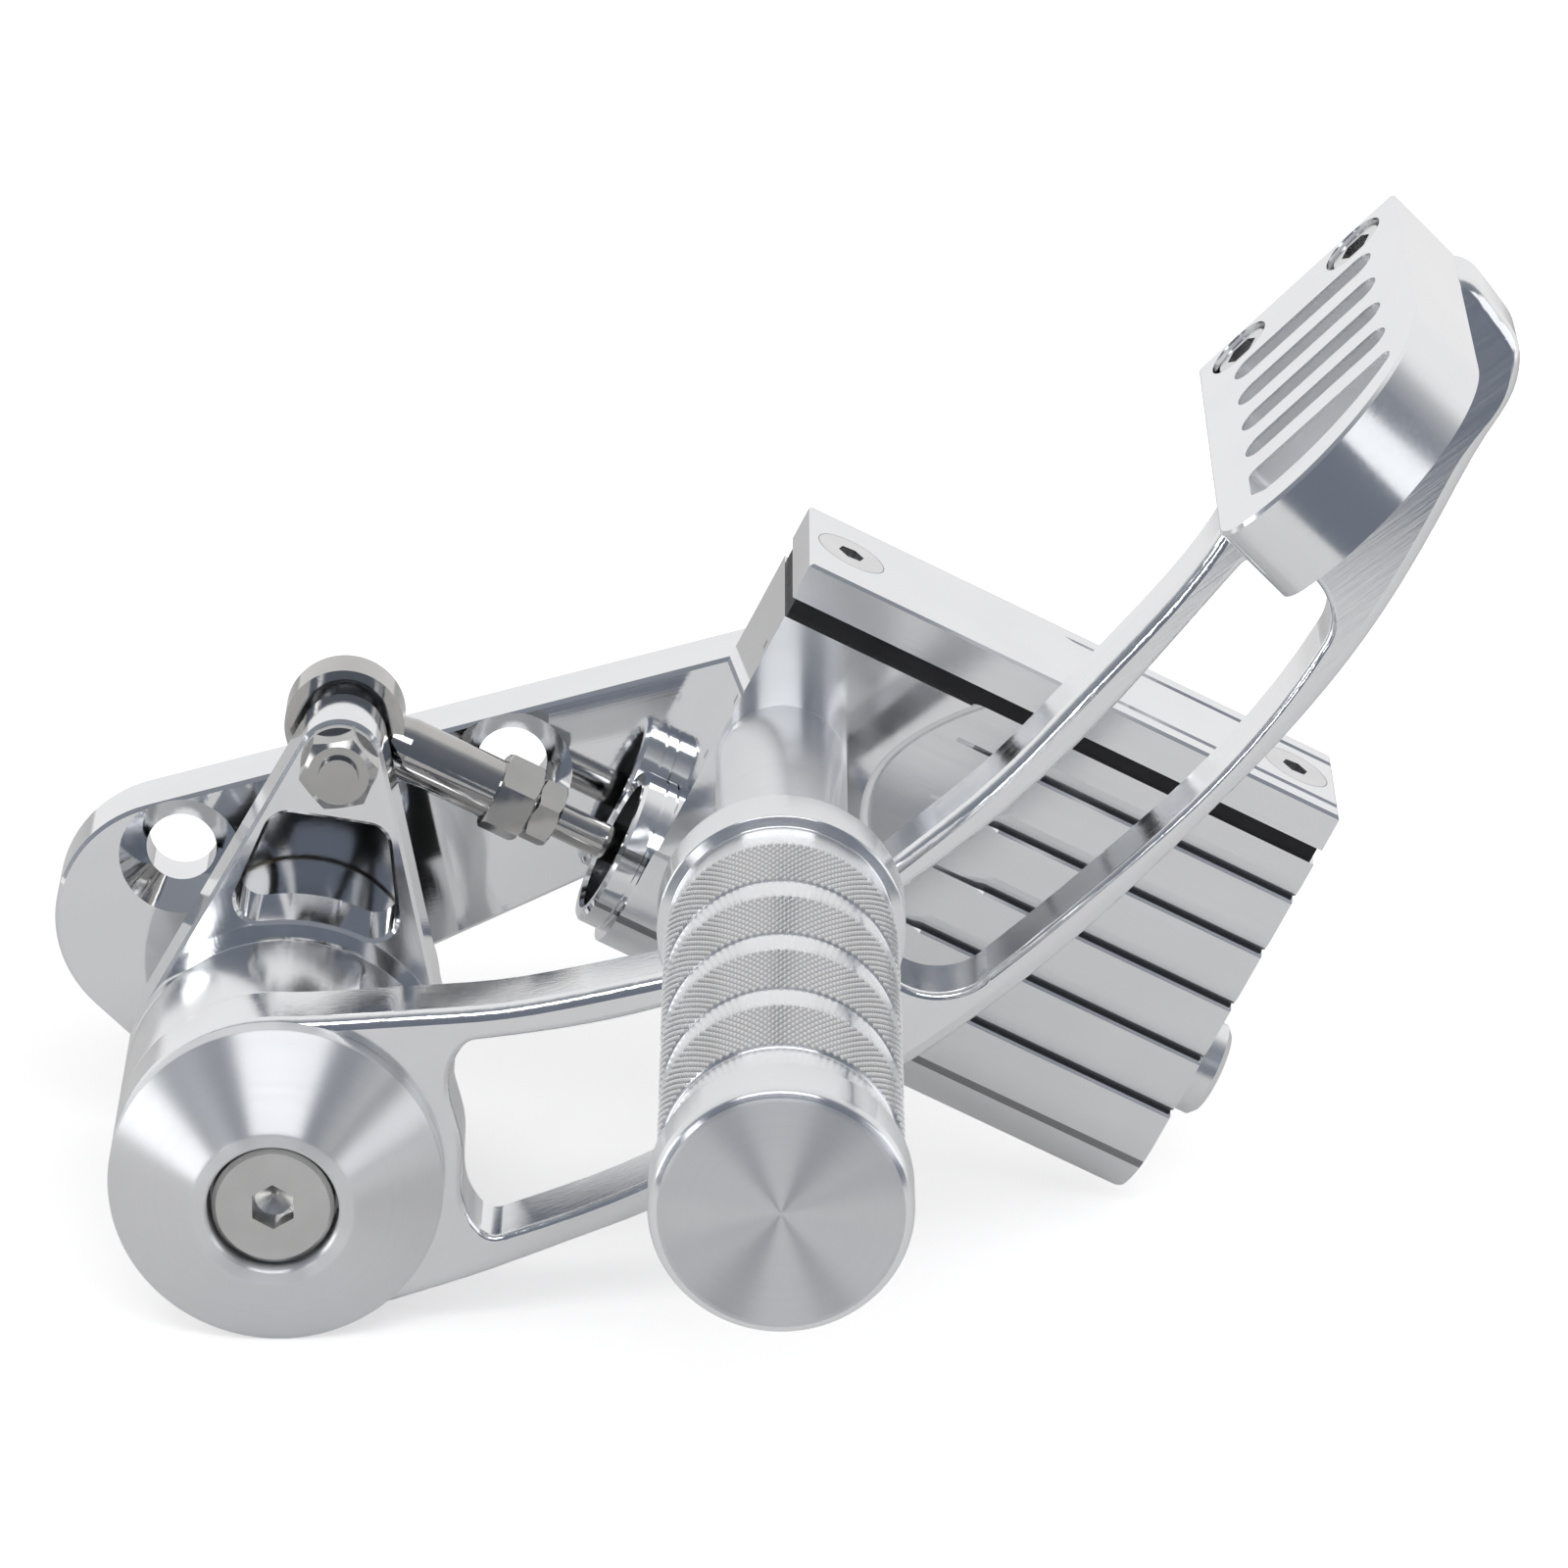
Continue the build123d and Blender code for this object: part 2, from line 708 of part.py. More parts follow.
def thrust_washers():
    inner = shaft_dia / 2 + 0.1
    front = arm_front - washer_play
    first = ring_y(pivot_x, pivot_z, inner, front_washer_dia / 2, front, front + washer_thickness)
    rear = lever_back + washer_play
    last = ring_y(pivot_x, pivot_z, inner, rear_washer_dia / 2, rear, rear + washer_thickness)
    return Compound([first, last])


def pivot_cap():
    rim = hub_dia / 2
    lip = cap_lip_dia / 2
    recess = cap_recess_dia / 2
    seat = cap_front + pivot_bolt_head_length + pivot_bolt_sink
    bolt = pivot_bolt_dia / 2 + hole_clearance
    nest = shaft_dia / 2 + 0.1
    return turned_at(pivot_x, pivot_z, [
        (rim - 0.4, cap_back), (rim, cap_back - 0.4), (rim, cap_rim + 0.2), (rim - 0.2, cap_rim),
        (lip + 0.3, cap_front + 0.4), (lip - 0.5, cap_front), (recess + 0.5, cap_front),
        (recess, cap_front + 0.5), (recess, seat), (bolt, seat), (bolt, shaft_front),
        (nest, shaft_front), (nest, cap_back),
    ])


def pivot_bolt():
    head = pivot_bolt_head_dia / 2
    shank = pivot_bolt_dia / 2
    top = cap_front + pivot_bolt_sink
    seat = top + pivot_bolt_head_length
    bolt = turned_at(pivot_x, pivot_z, [
        (0, top), (head - 0.7, top), (head, top + 0.7), (head, seat), (shank, seat),
        (shank, seat + pivot_bolt_length), (0, seat + pivot_bolt_length),
    ])
    floor = top + pivot_bolt_socket_depth
    drawing = Pos(pivot_x, pivot_z) * hex_drawing(pivot_bolt_socket, hex_corner_up)
    socket = slab(drawing, top - 1, floor)
    drill = pivot_bolt_drill_dia / 2
    point = turned_at(pivot_x, pivot_z, [(0, floor - 0.1), (drill, floor - 0.1), (0, floor + drill / 2)])
    return bolt - socket - point


# Pedal: crank lever, hub and arm, turning together on the bushes
def circle_places(count, phase):
    """Places on the screw circle, starting at phase and going round in steps of the screws'."""
    radius = hub_screw_circle / 2
    for index in range(count):
        angle = math.radians(phase + 360.0 * index / hub_screw_count)
        yield (pivot_x + radius * math.cos(angle), pivot_z + radius * math.sin(angle))


def screw_circle():
    return list(circle_places(hub_screw_count, hub_screw_phase))


def dowel_circle():
    return list(circle_places(dowel_count, dowel_phase))


def hub_cutters():
    """Screw and dowel holes shared by the arm, the hub and the lever."""
    screw = hub_screw_dia / 2 + thread_clearance
    dowel = dowel_dia / 2 + fit_clearance
    middle = (arm_back + lever_face) / 2
    cuts = [rod(x, z, screw, arm_front - 1, lever_back - 3) for x, z in screw_circle()]
    cuts += [rod(x, z, dowel, middle - dowel_length / 2 - 0.2, middle + dowel_length / 2 + 0.2)
             for x, z in dowel_circle()]
    return cuts


def bush_bore():
    return rod(pivot_x, pivot_z, bush_outer_dia / 2 + fit_clearance, arm_front - 1, lever_back + 1)


def crank_lever():
    hub = hub_dia / 2
    outline = hull_of_circles(0, 0, hub, lever_tip_dx, lever_tip_dz, lever_tip_radius)
    lever = slab(Pos(pivot_x, pivot_z) * outline, lever_front, lever_back)
    reach = math.hypot(lever_tip_dx, lever_tip_dz)
    taper = (hub - lever_tip_radius) / reach
    side = math.sqrt(1 - taper ** 2)
    top_half = (hub - taper * lever_window_top - lever_window_top_wall) / side
    low_half = (hub - taper * hub - lever_window_low_wall) / side
    floor = hub + lever_window_floor
    foot = math.sqrt(floor ** 2 - low_half ** 2)
    window = face_of([(-low_half, foot), (-top_half, lever_window_top), (top_half, lever_window_top),
                      (low_half, foot)])
    window = window - Circle(floor)
    window = fillet(window.vertices(), lever_window_radius)
    lean = math.degrees(math.atan2(lever_tip_dx, lever_tip_dz))
    window = Pos(pivot_x, pivot_z) * Rot(0, 0, -lean) * window
    lever -= slab(window, lever_front - 1, lever_back + 1)
    lever = chamfer(front_edges(lever), 0.6)
    lever += rod(pivot_x, pivot_z, hub, lever_face, lever_front + 0.6)
    lever -= bush_bore()
    lever -= hub_cutters()
    lever -= rod(tip_x, tip_z, link_dia / 2 + fit_clearance, lever_front - 1, lever_back + 1)
    return lever


def pivot_hub():
    hub = ring_y(pivot_x, pivot_z, bush_outer_dia / 2 + 0.5, hub_dia / 2, arm_back, lever_face)
    return hub - hub_cutters()


# Upper edge of the arm, as shares of the pad seat's place from the pivot
arm_crest = (
    (0.1418, 0.2304), (0.2261, 0.2387), (0.3104, 0.2579), (0.3979, 0.2830), (0.4900, 0.3172),
    (0.5652, 0.3723), (0.6233, 0.4324), (0.7409, 0.5634), (0.8108, 0.6619), (0.8912, 0.7780),
    (0.9507, 0.8781))


def knee_lift():
    """How far the middle of the arm moves up or down to pass under the post with its gap."""
    across = (peg_x - pivot_x) / arm_seat_dx
    room = peg_z - post_dia / 2 - arm_post_gap - pivot_z
    for (a, low), (b, high) in zip(arm_crest, arm_crest[1:]):
        if a <= across <= b:
            crest = low + (high - low) * (across - a) / (b - a)
            return room - crest * arm_seat_dz
    return 0.0


def lifted(end, shares):
    """Points given as shares of the way from the pivot to an end of the arm, with the knee's lift."""
    lift = knee_lift()
    points = []
    for across, up in shares:
        x = end[0] * across
        bend = math.sin(math.pi * min(x / arm_seat_dx, 1.0))
        points.append((x, end[1] * up + lift * bend))
    return points


def arm_points(*shares):
    """Points of the arm in the pivot's frame, given as shares of the pad seat's place."""
    return lifted((arm_seat_dx, arm_seat_dz), shares)


def arm_face():
    """Outline of the arm: a ring round the hub and two long curved edges out to the pad seat."""
    hub = hub_dia / 2
    lean = math.radians(pad_angle)
    seat = (arm_seat_dx, arm_seat_dz)
    end_x = seat[0] + pad_width * math.cos(lean)
    end_z = seat[1] + pad_width * math.sin(lean)
    heel = (end_x + arm_heel_dx, end_z - arm_heel_dz)
    lower_points = lifted(heel, (
        (0.9782, 0.9266), (0.9427, 0.8278), (0.8918, 0.6931), (0.8220, 0.5554), (0.7482, 0.4371),
        (0.6581, 0.3054), (0.5474, 0.1722), (0.4267, 0.0524), (0.3023, -0.0501), (0.2456, -0.0838),
        (0.1774, -0.1228)))
    last = lower_points[-1]
    turn = math.atan2(last[1], last[0]) - math.acos(hub / math.hypot(*last))
    root = (hub * math.cos(turn), hub * math.sin(turn))
    upper = Spline((0, hub), *arm_points(*arm_crest), seat, tangents=((1, 0), (0.42, 0.91)))
    tip = Spline((end_x, end_z), (end_x + 0.57 * arm_heel_dx, end_z - 0.31 * arm_heel_dz),
                 (end_x + 0.88 * arm_heel_dx, end_z - 0.59 * arm_heel_dz), heel,
                 tangents=((0.8, -0.1), (-0.1, -1)))
    lower = Spline(heel, *lower_points, root, tangents=((-0.1, -1), (root[0] - last[0], root[1] - last[1])))
    face = make_face([upper, Line(seat, (end_x, end_z)), tip, lower, Line(root, (0, hub))])
    return face + Circle(hub)


def window_face(corner, *edges):
    """A window whose edges run round it, each a curve through its points."""
    curves = [Spline(*arm_points(*points)) for points in edges]
    return fillet(make_face(curves).vertices(), corner)


def left_window():
    return window_face(
        3.0,
        [(0.1986, 0.1912), (0.3241, 0.2154), (0.3973, 0.2387), (0.4639, 0.2705)],
        [(0.4639, 0.2705), (0.4783, 0.1669), (0.4678, 0.0618)],
        [(0.4678, 0.0618), (0.3816, -0.0075), (0.3058, -0.0501), (0.2195, -0.0902)],
        [(0.2195, -0.0902), (0.1908, -0.0150), (0.1921, 0.0442), (0.1803, 0.1135), (0.1986, 0.1912)])


def right_window():
    return window_face(
        2.4,
        [(0.5880, 0.3531), (0.6462, 0.4082), (0.7331, 0.4975), (0.8429, 0.6394), (0.9356, 0.7813),
         (0.9840, 0.8564)],
        [(0.9840, 0.8564), (1.0363, 0.8514), (1.0689, 0.8047), (1.0624, 0.7379)],
        [(1.0624, 0.7379), (1.0010, 0.6227), (0.9343, 0.5242), (0.8448, 0.4140), (0.7671, 0.3247),
         (0.7292, 0.2838)],
        [(0.7292, 0.2838), (0.7096, 0.2663), (0.6841, 0.2588), (0.6560, 0.2638), (0.6207, 0.2955),
         (0.5880, 0.3531)])


def pad_screw_places():
    return (pad_screw_first, pad_screw_first + pad_screw_pitch)


def pedal_arm():
    arm = slab(arm_face(), arm_front, arm_back)
    arm = fillet(front_edges(arm), arm_edge_round)
    for window in (left_window(), right_window()):
        opening = slab(window, arm_front - 1, arm_back + 1)
        cut = arm - opening
        rim = new_edges(arm, opening, combined=cut).group_by(Axis.Y)[0]
        arm = fillet(rim, window_edge_round)
    arm = Pos(pivot_x, 0, pivot_z) * arm
    arm -= bush_bore()
    nest = front_washer_dia / 2 + hole_clearance
    arm -= rod(pivot_x, pivot_z, nest, arm_front - 1, arm_front + washer_thickness + washer_play)
    arm -= hub_cutters()
    head = hub_screw_head_dia / 2 + hole_clearance
    for x, z in screw_circle():
        arm -= rod(x, z, head, arm_front - 1, arm_front + hub_screw_head_length + hub_screw_sink)
    middle = (arm_front + arm_back) / 2
    for place in pad_screw_places():
        hole = Cylinder(pad_screw_dia / 2 + thread_clearance, 2 * pad_screw_grip)
        arm -= pad_place * Pos(place, middle, 0) * hole
    return arm


def hub_screws():
    head = hub_screw_head_dia / 2
    shank = hub_screw_dia / 2
    screws = []
    for x, z in screw_circle():
        seat = arm_front + hub_screw_head_length + hub_screw_sink
        screw = turned_at(x, z, [
            (0, seat - hub_screw_head_length), (head, seat - hub_screw_head_length), (head, seat),
            (shank, seat), (shank, lever_back - 4), (0, lever_back - 4),
        ])
        top = seat - hub_screw_head_length
        socket = slab(Pos(x, z) * hex_drawing(hub_screw_socket), top - 1, top + hub_screw_head_length / 2)
        screws.append(screw - socket)
    return Compound(screws)


def dowel_pins():
    middle = (arm_back + lever_face) / 2
    return Compound([rod(x, z, dowel_dia / 2, middle - dowel_length / 2, middle + dowel_length / 2)
                     for x, z in dowel_circle()])


# Toe pad, screwed down on the seat at the end of the arm
def pad_outline():
    """The pad in its own axes: s across, Y along, with a round outboard end."""
    inboard = arm_back + pad_inboard_lap
    outboard = inboard - pad_reach
    centre = (pad_width - pad_nose_radius, outboard + pad_nose_radius)
    block = Rectangle(pad_width, pad_reach - pad_nose_radius, align=(Align.MIN, Align.MAX))
    strip = Rectangle(pad_width, pad_reach, align=(Align.MIN, Align.MAX))
    nose = Pos(*centre) * Circle(pad_nose_radius) & Pos(0, inboard) * strip
    outline = Pos(0, inboard) * block + nose
    corner = outline.vertices().sort_by(Axis.Y)
    corner = [v for v in corner if v.X < 0.01 and v.Y < centre[1] - 1]
    return fillet(corner, pad_corner_radius)


def toe_pad():
    pad = extrude(pad_outline(), pad_thickness)
    top_edges = pad.edges().group_by(Axis.Z)[-1]
    pad = chamfer(top_edges, pad_edge_break)
    inboard = arm_back + pad_inboard_lap
    middle_s = pad_slot_margin + pad_slot_length / 2
    for index in range(pad_slot_count):
        y = inboard - pad_slot_first - index * pad_slot_pitch
        slot = SlotOverall(pad_slot_length, pad_slot_width)
        pad -= Pos(middle_s, y, pad_thickness - pad_slot_depth) * extrude(slot, pad_slot_depth + 1)
    y = inboard - pad_slot_first - pad_slot_count * pad_slot_pitch
    outboard = inboard - pad_reach
    start = (pad_slot_margin, y + pad_pocket_gap)
    end = (pad_slot_margin + pad_slot_length, y + pad_pocket_gap)
    side = (pad_slot_margin + pad_slot_length, outboard + pad_pocket_side)
    middle = (pad_pocket_middle[0], outboard + pad_pocket_middle[1])
    foot = (pad_slot_margin + pad_pocket_foot[0], outboard + pad_pocket_foot[1])
    heel = (pad_slot_margin, outboard + pad_pocket_heel)
    crescent = make_face([Line(start, end), Line(end, side), ThreePointArc(side, middle, foot),
                          Line(foot, heel), Line(heel, start)])
    crescent = fillet(crescent.vertices(), pad_pocket_round)
    pad -= Pos(0, 0, pad_thickness - pad_slot_depth) * extrude(crescent, pad_slot_depth + 1)
    screw_y = (arm_front + arm_back) / 2
    for place in pad_screw_places():
        shank = Cylinder(pad_screw_dia / 2 + hole_clearance, 4 * pad_thickness)
        sink = Cylinder(pad_screw_head_dia / 2 + pad_screw_room, 2 * pad_screw_sink)
        pad -= Pos(place, screw_y, 0) * shank
        pad -= Pos(place, screw_y, pad_thickness) * sink
    return pad_place * pad


def toe_pad_screws():
    head = pad_screw_head_dia / 2
    shank = pad_screw_dia / 2
    seat = pad_thickness - pad_screw_sink
    screw_y = (arm_front + arm_back) / 2
    screws = []
    for place in pad_screw_places():
        low = seat - pad_screw_grip
        screw = revolve(Plane.XZ * face_of([
            (0, low), (shank, low), (shank, seat), (head, seat), (head, seat + pad_screw_head_length - 0.5),
            (head - 0.5, seat + pad_screw_head_length), (0, seat + pad_screw_head_length),
        ]), Axis.Z)
        socket = extrude(hex_drawing(pad_screw_socket), -pad_screw_socket_depth)
        socket = Pos(0, 0, seat + pad_screw_head_length) * socket
        screws.append(pad_place * Pos(place, screw_y, 0) * (screw - socket))
    return Compound(screws)


# Link: rod end with its ball on the lever's tip, jam nut and pushrod, laid along the bore axis
link_place = Location((tip_x, bore_y, tip_z), (0, slant, 0))


def rod_end_body():
    eye = eye_dia / 2
    body = slab(Circle(eye), -eye_thickness / 2, eye_thickness / 2)
    start = eye - 2.0
    body += revolve(face_of([
        (start, 0), (start, shank_dia / 2 - 0.6), (eye + 1.2, shank_dia / 2),
        (shank_length - shank_hex_length + 0.1, shank_dia / 2),
        (shank_length - shank_hex_length + 0.1, 0),
    ]), Axis.X)
    hexagon = Plane.YZ.offset(shank_length - shank_hex_length) * hex_drawing(shank_hex, hex_corner_up)
    hexagon = extrude(hexagon, shank_hex_length)
    edge = shank_hex / math.sqrt(3)
    turned_hex = revolve(face_of([
        (shank_length - shank_hex_length, 0), (shank_length - shank_hex_length, edge - 0.8),
        (shank_length - shank_hex_length + 0.5, edge), (shank_length - 0.5, edge),
        (shank_length, edge - 0.8), (shank_length, 0),
    ]), Axis.X)
    body += hexagon & turned_hex
    race = race_dia / 2 + fit_clearance
    body -= slab(Circle(race), -eye_thickness, eye_thickness)
    thread = rod_dia / 2 + thread_clearance
    body -= revolve(face_of([
        (shank_length - rod_thread_engage - 2, 0), (shank_length - rod_thread_engage - 2, thread),
        (shank_length + 1, thread), (shank_length + 1, 0),
    ]), Axis.X)
    return link_place * body


def rod_end_race():
    race = race_dia / 2
    half = race_thickness / 2
    ring = slab(Circle(race), -half, half)
    ring -= Sphere(ball_dia / 2 + ball_running)
    return link_place * ring


def rod_end_ball():
    half = ball_width / 2
    flat = math.sqrt((ball_dia / 2) ** 2 - (race_thickness / 2 + 0.6) ** 2)
    ball = Sphere(ball_dia / 2) & slab(Circle(ball_dia), -race_thickness / 2 - 0.6, race_thickness / 2 + 0.6)
    neck = slab(Circle(min(flat, link_dia / 2 + 1.6)), -half, half)
    ball = ball + neck
    return link_place * (ball - slab(Circle(link_dia / 2 + fit_clearance), -ball_width, ball_width))


def link_spacer():
    front = lever_back
    return ring_y(tip_x, tip_z, link_dia / 2 + fit_clearance, link_spacer_dia / 2, front,
                  front + link_spacer_length)


def link_bolt():
    head_start = bore_y + ball_width / 2
    shank = rod(tip_x, tip_z, link_dia / 2, lever_front - link_nut_length - link_stud_out, head_start)
    drawing = Pos(tip_x, tip_z) * hex_drawing(link_head_hex, link_head_turn)
    return shank + slab(drawing, head_start, head_start + link_head_length)


def link_nut():
    end = lever_front - link_nut_length
    flange = link_nut_flange_dia / 2
    edge = link_nut_hex / math.sqrt(3)
    nut = slab(Pos(tip_x, tip_z) * hex_drawing(link_nut_hex, link_nut_turn), end, lever_front)
    nut = nut & turned_at(tip_x, tip_z, [
        (0, end), (edge - 1.5, end), (edge, end + 0.9), (edge, lever_front), (0, lever_front)])
    nut += rod(tip_x, tip_z, flange, lever_front - link_nut_flange, lever_front)
    return nut - rod(tip_x, tip_z, link_dia / 2 + thread_clearance, end - 1, lever_front + 1)


def jam_nut():
    start = shank_length + jam_nut_gap
    edge = jam_nut_hex / math.sqrt(3)
    nut = extrude(Plane.YZ.offset(start) * hex_drawing(jam_nut_hex, hex_corner_up), jam_nut_length)
    nut = nut & revolve(face_of([
        (start, 0), (start, edge - 0.7), (start + 0.5, edge), (start + jam_nut_length - 0.5, edge),
        (start + jam_nut_length, edge - 0.7), (start + jam_nut_length, 0),
    ]), Axis.X)
    hole = rod_dia / 2 + thread_clearance
    nut -= revolve(face_of([
        (start - 1, 0), (start - 1, hole), (start + jam_nut_length + 1, hole),
        (start + jam_nut_length + 1, 0),
    ]), Axis.X)
    return link_place * nut


def pushrod():
    """Starts inside the rod end's shank and ends in a ball nose in the piston's socket."""
    start = shank_length - rod_thread_engage
    radius = rod_dia / 2
    nose = [(rod_reach + radius * math.sin(math.radians(a)), radius * math.cos(math.radians(a)))
            for a in range(0, 90, 15)]
    points = [(start, 0), (start, radius - 0.5), (start + 0.5, radius)] + nose
    points += [(rod_reach + radius, 0)]
    return link_place * revolve(face_of(points), Axis.X)


# Inside the bore: stop washer, circlip, piston, seals and return spring
def circlip():
    radius = collar_mouth_dia / 2 + circlip_groove - 0.1
    start = collar_mouth_depth + fit_clearance
    ring = bore_turned([
        (start, radius - 2.6), (start, radius), (start + circlip_thickness - 2 * fit_clearance, radius),
        (start + circlip_thickness - 2 * fit_clearance, radius - 2.6),
    ])
    gap = Pos(start, bore_y, -radius) * Box(4 * circlip_thickness, 7.0, 8.0)
    return housing_place * (ring - gap)


def stop_washer():
    start = collar_mouth_depth + circlip_thickness
    outer = collar_mouth_dia / 2 - fit_clearance
    inner = stop_washer_hole / 2
    return housing_place * bore_turned([
        (start, inner), (start, outer), (start + stop_washer_thickness, outer),
        (start + stop_washer_thickness, inner),
    ])


def piston():
    land = bore_dia / 2 - piston_clearance
    core = piston_core_dia / 2
    waist = piston_waist_dia / 2
    nose = piston_nose_dia / 2
    a = piston_rear
    b = a + piston_land
    c = b + piston_groove
    d = c + piston_land
    e = d + piston_waist
    socket = rod_socket_dia / 2
    body = bore_turned([
        (a, 0), (a, land), (b, land), (b, core), (c, core), (c, land), (d, land), (d, waist),
        (e, waist), (e, land), (piston_head_end, land), (piston_head_end, nose),
        (cup_end - 0.6, nose), (cup_end, nose - 0.6), (cup_end, 0),
    ])
    deep = a + rod_socket_depth
    body -= bore_turned([(a - 1, 0), (a - 1, socket), (deep - socket * 0.7, socket),
                         (deep - socket * 0.25, socket * 0.75), (deep, socket * 0.3), (deep, 0)])
    return housing_place * body


def secondary_seal():
    start = piston_rear + piston_land + seal_clearance
    end = start + piston_groove - 2 * seal_clearance
    outer = bore_dia / 2 - seal_clearance
    inner = piston_core_dia / 2 + fit_clearance
    return housing_place * bore_turned([
        (start, inner), (start, outer - 0.5), (end, outer), (end - 1.2, outer - 1.2), (end - 1.2, inner)])


def primary_cup():
    start = piston_head_end + fit_clearance
    outer = bore_dia / 2 - seal_clearance
    inner = piston_nose_dia / 2 + fit_clearance
    end = piston_head_end + cup_length - 0.4
    return housing_place * bore_turned([
        (start, inner), (start, outer - 0.4), (end, outer), (end, outer - 0.8),
        (start + 1.8, outer - cup_wall), (start + 1.8, inner)])


def return_spring():
    wire = spring_wire_dia / 2
    radius = bore_dia / 2 - 1.4 - wire
    start = piston_head_end + 2.0 + wire
    length = bore_end - wire - fit_clearance - start
    path = Helix(pitch=length / spring_turns, height=length, radius=radius)
    coil = sweep(Plane(origin=path @ 0, z_dir=path % 0) * Circle(wire), path=path)
    return housing_place * Pos(start, bore_y, 0) * Rot(0, 90, 0) * coil


pieces = {
    "mounting_plate": mounting_plate,
    "housing_screws": housing_screws,
    "housing": housing,
    "reservoir_lid": reservoir_lid,
    "diaphragm": diaphragm,
    "lid_screws": lid_screws,
    "peg_sleeve": peg_sleeve,
    "peg_post": peg_post,
    "peg_bolt": peg_bolt,
    "pivot_shaft": pivot_shaft,
    "pivot_bushes": pivot_bushes,
    "thrust_washers": thrust_washers,
    "pivot_cap": pivot_cap,
    "pivot_bolt": pivot_bolt,
    "crank_lever": crank_lever,
    "pivot_hub": pivot_hub,
    "pedal_arm": pedal_arm,
    "hub_screws": hub_screws,
    "dowel_pins": dowel_pins,
    "toe_pad": toe_pad,
    "toe_pad_screws": toe_pad_screws,
    "rod_end_body": rod_end_body,
    "rod_end_race": rod_end_race,
    "rod_end_ball": rod_end_ball,
    "link_spacer": link_spacer,
    "link_bolt": link_bolt,
    "link_nut": link_nut,
    "jam_nut": jam_nut,
    "pushrod": pushrod,
    "circlip": circlip,
    "stop_washer": stop_washer,
    "piston": piston,
    "secondary_seal": secondary_seal,
    "primary_cup": primary_cup,
    "return_spring": return_spring,
}

for name, make in pieces.items():
    export_step(make(), "parts/" + name + ".step")
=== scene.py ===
import math

import bpy
from mathutils import Matrix, Vector


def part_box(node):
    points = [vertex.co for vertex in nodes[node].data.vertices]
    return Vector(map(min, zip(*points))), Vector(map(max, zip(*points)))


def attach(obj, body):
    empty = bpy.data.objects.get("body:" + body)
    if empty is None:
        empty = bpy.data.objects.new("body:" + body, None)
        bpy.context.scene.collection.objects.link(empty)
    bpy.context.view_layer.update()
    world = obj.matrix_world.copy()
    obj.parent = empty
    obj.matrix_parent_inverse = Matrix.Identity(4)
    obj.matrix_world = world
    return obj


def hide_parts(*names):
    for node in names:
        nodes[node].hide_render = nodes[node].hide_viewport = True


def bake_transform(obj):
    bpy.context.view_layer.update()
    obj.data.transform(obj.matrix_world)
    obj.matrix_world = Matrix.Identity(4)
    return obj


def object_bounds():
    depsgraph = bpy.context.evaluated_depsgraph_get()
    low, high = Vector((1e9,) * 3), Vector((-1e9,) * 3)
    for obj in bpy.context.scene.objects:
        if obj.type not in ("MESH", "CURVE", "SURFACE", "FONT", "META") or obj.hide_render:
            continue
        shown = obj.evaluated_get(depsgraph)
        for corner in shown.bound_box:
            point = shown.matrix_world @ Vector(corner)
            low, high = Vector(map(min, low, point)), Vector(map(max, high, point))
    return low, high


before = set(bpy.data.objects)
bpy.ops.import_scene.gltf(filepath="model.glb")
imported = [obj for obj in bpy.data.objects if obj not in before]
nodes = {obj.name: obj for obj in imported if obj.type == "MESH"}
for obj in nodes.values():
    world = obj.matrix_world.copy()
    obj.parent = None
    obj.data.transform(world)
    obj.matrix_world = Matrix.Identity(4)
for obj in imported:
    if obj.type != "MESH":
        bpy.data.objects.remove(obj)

cad_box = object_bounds()

# The camera looks inboard along +Y from well outboard of the foot peg and 21 degrees above it, with a
# long lens, so that lines along the peg draw together only a little, as they do in the photograph.
camera_pitch = math.radians(21.0)
camera_place = (0.0716, -1.4291, 0.5490)
camera_lens = 213.75
lens = bpy.data.cameras.new("camera")
lens.sensor_width = 36.0
lens.lens = camera_lens
lens.clip_start = 0.05
lens.clip_end = 20.0
camera = bpy.data.objects.new("camera", lens)
camera.location = camera_place
camera.rotation_euler = (math.radians(90.0) - camera_pitch, 0.0, 0.0)
bpy.context.scene.collection.objects.link(camera)
bpy.context.scene.camera = camera
bpy.context.scene.view_settings.view_transform = "Standard"


# Shader maths: a Tap holds one output of a node tree, and sums, products and the like on it add Math
# nodes. Its tree takes any other node through add().
class Tap:
    def __init__(self, socket):
        self.socket = socket
        self.tree = socket.id_data

    def math(self, operation, *others, first=None):
        node = self.tree.nodes.new("ShaderNodeMath")
        node.operation = operation
        terms = (first, self) if first is not None else (self,) + others
        for slot, term in zip(node.inputs, terms):
            feed(slot, term)
        return Tap(node.outputs[0])

    def __add__(self, other):
        return self.math("ADD", other)

    def __mul__(self, other):
        return self.math("MULTIPLY", other)

    def __sub__(self, other):
        return self.math("SUBTRACT", other)

    def __rsub__(self, other):
        return self.math("SUBTRACT", first=other)

    def __pow__(self, other):
        return self.math("POWER", other)

    __radd__ = __add__
    __rmul__ = __mul__


def feed(slot, value):
    """Puts a number, a colour or another node's output on a socket."""
    if isinstance(value, Tap):
        slot.id_data.links.new(value.socket, slot)
    else:
        slot.default_value = value


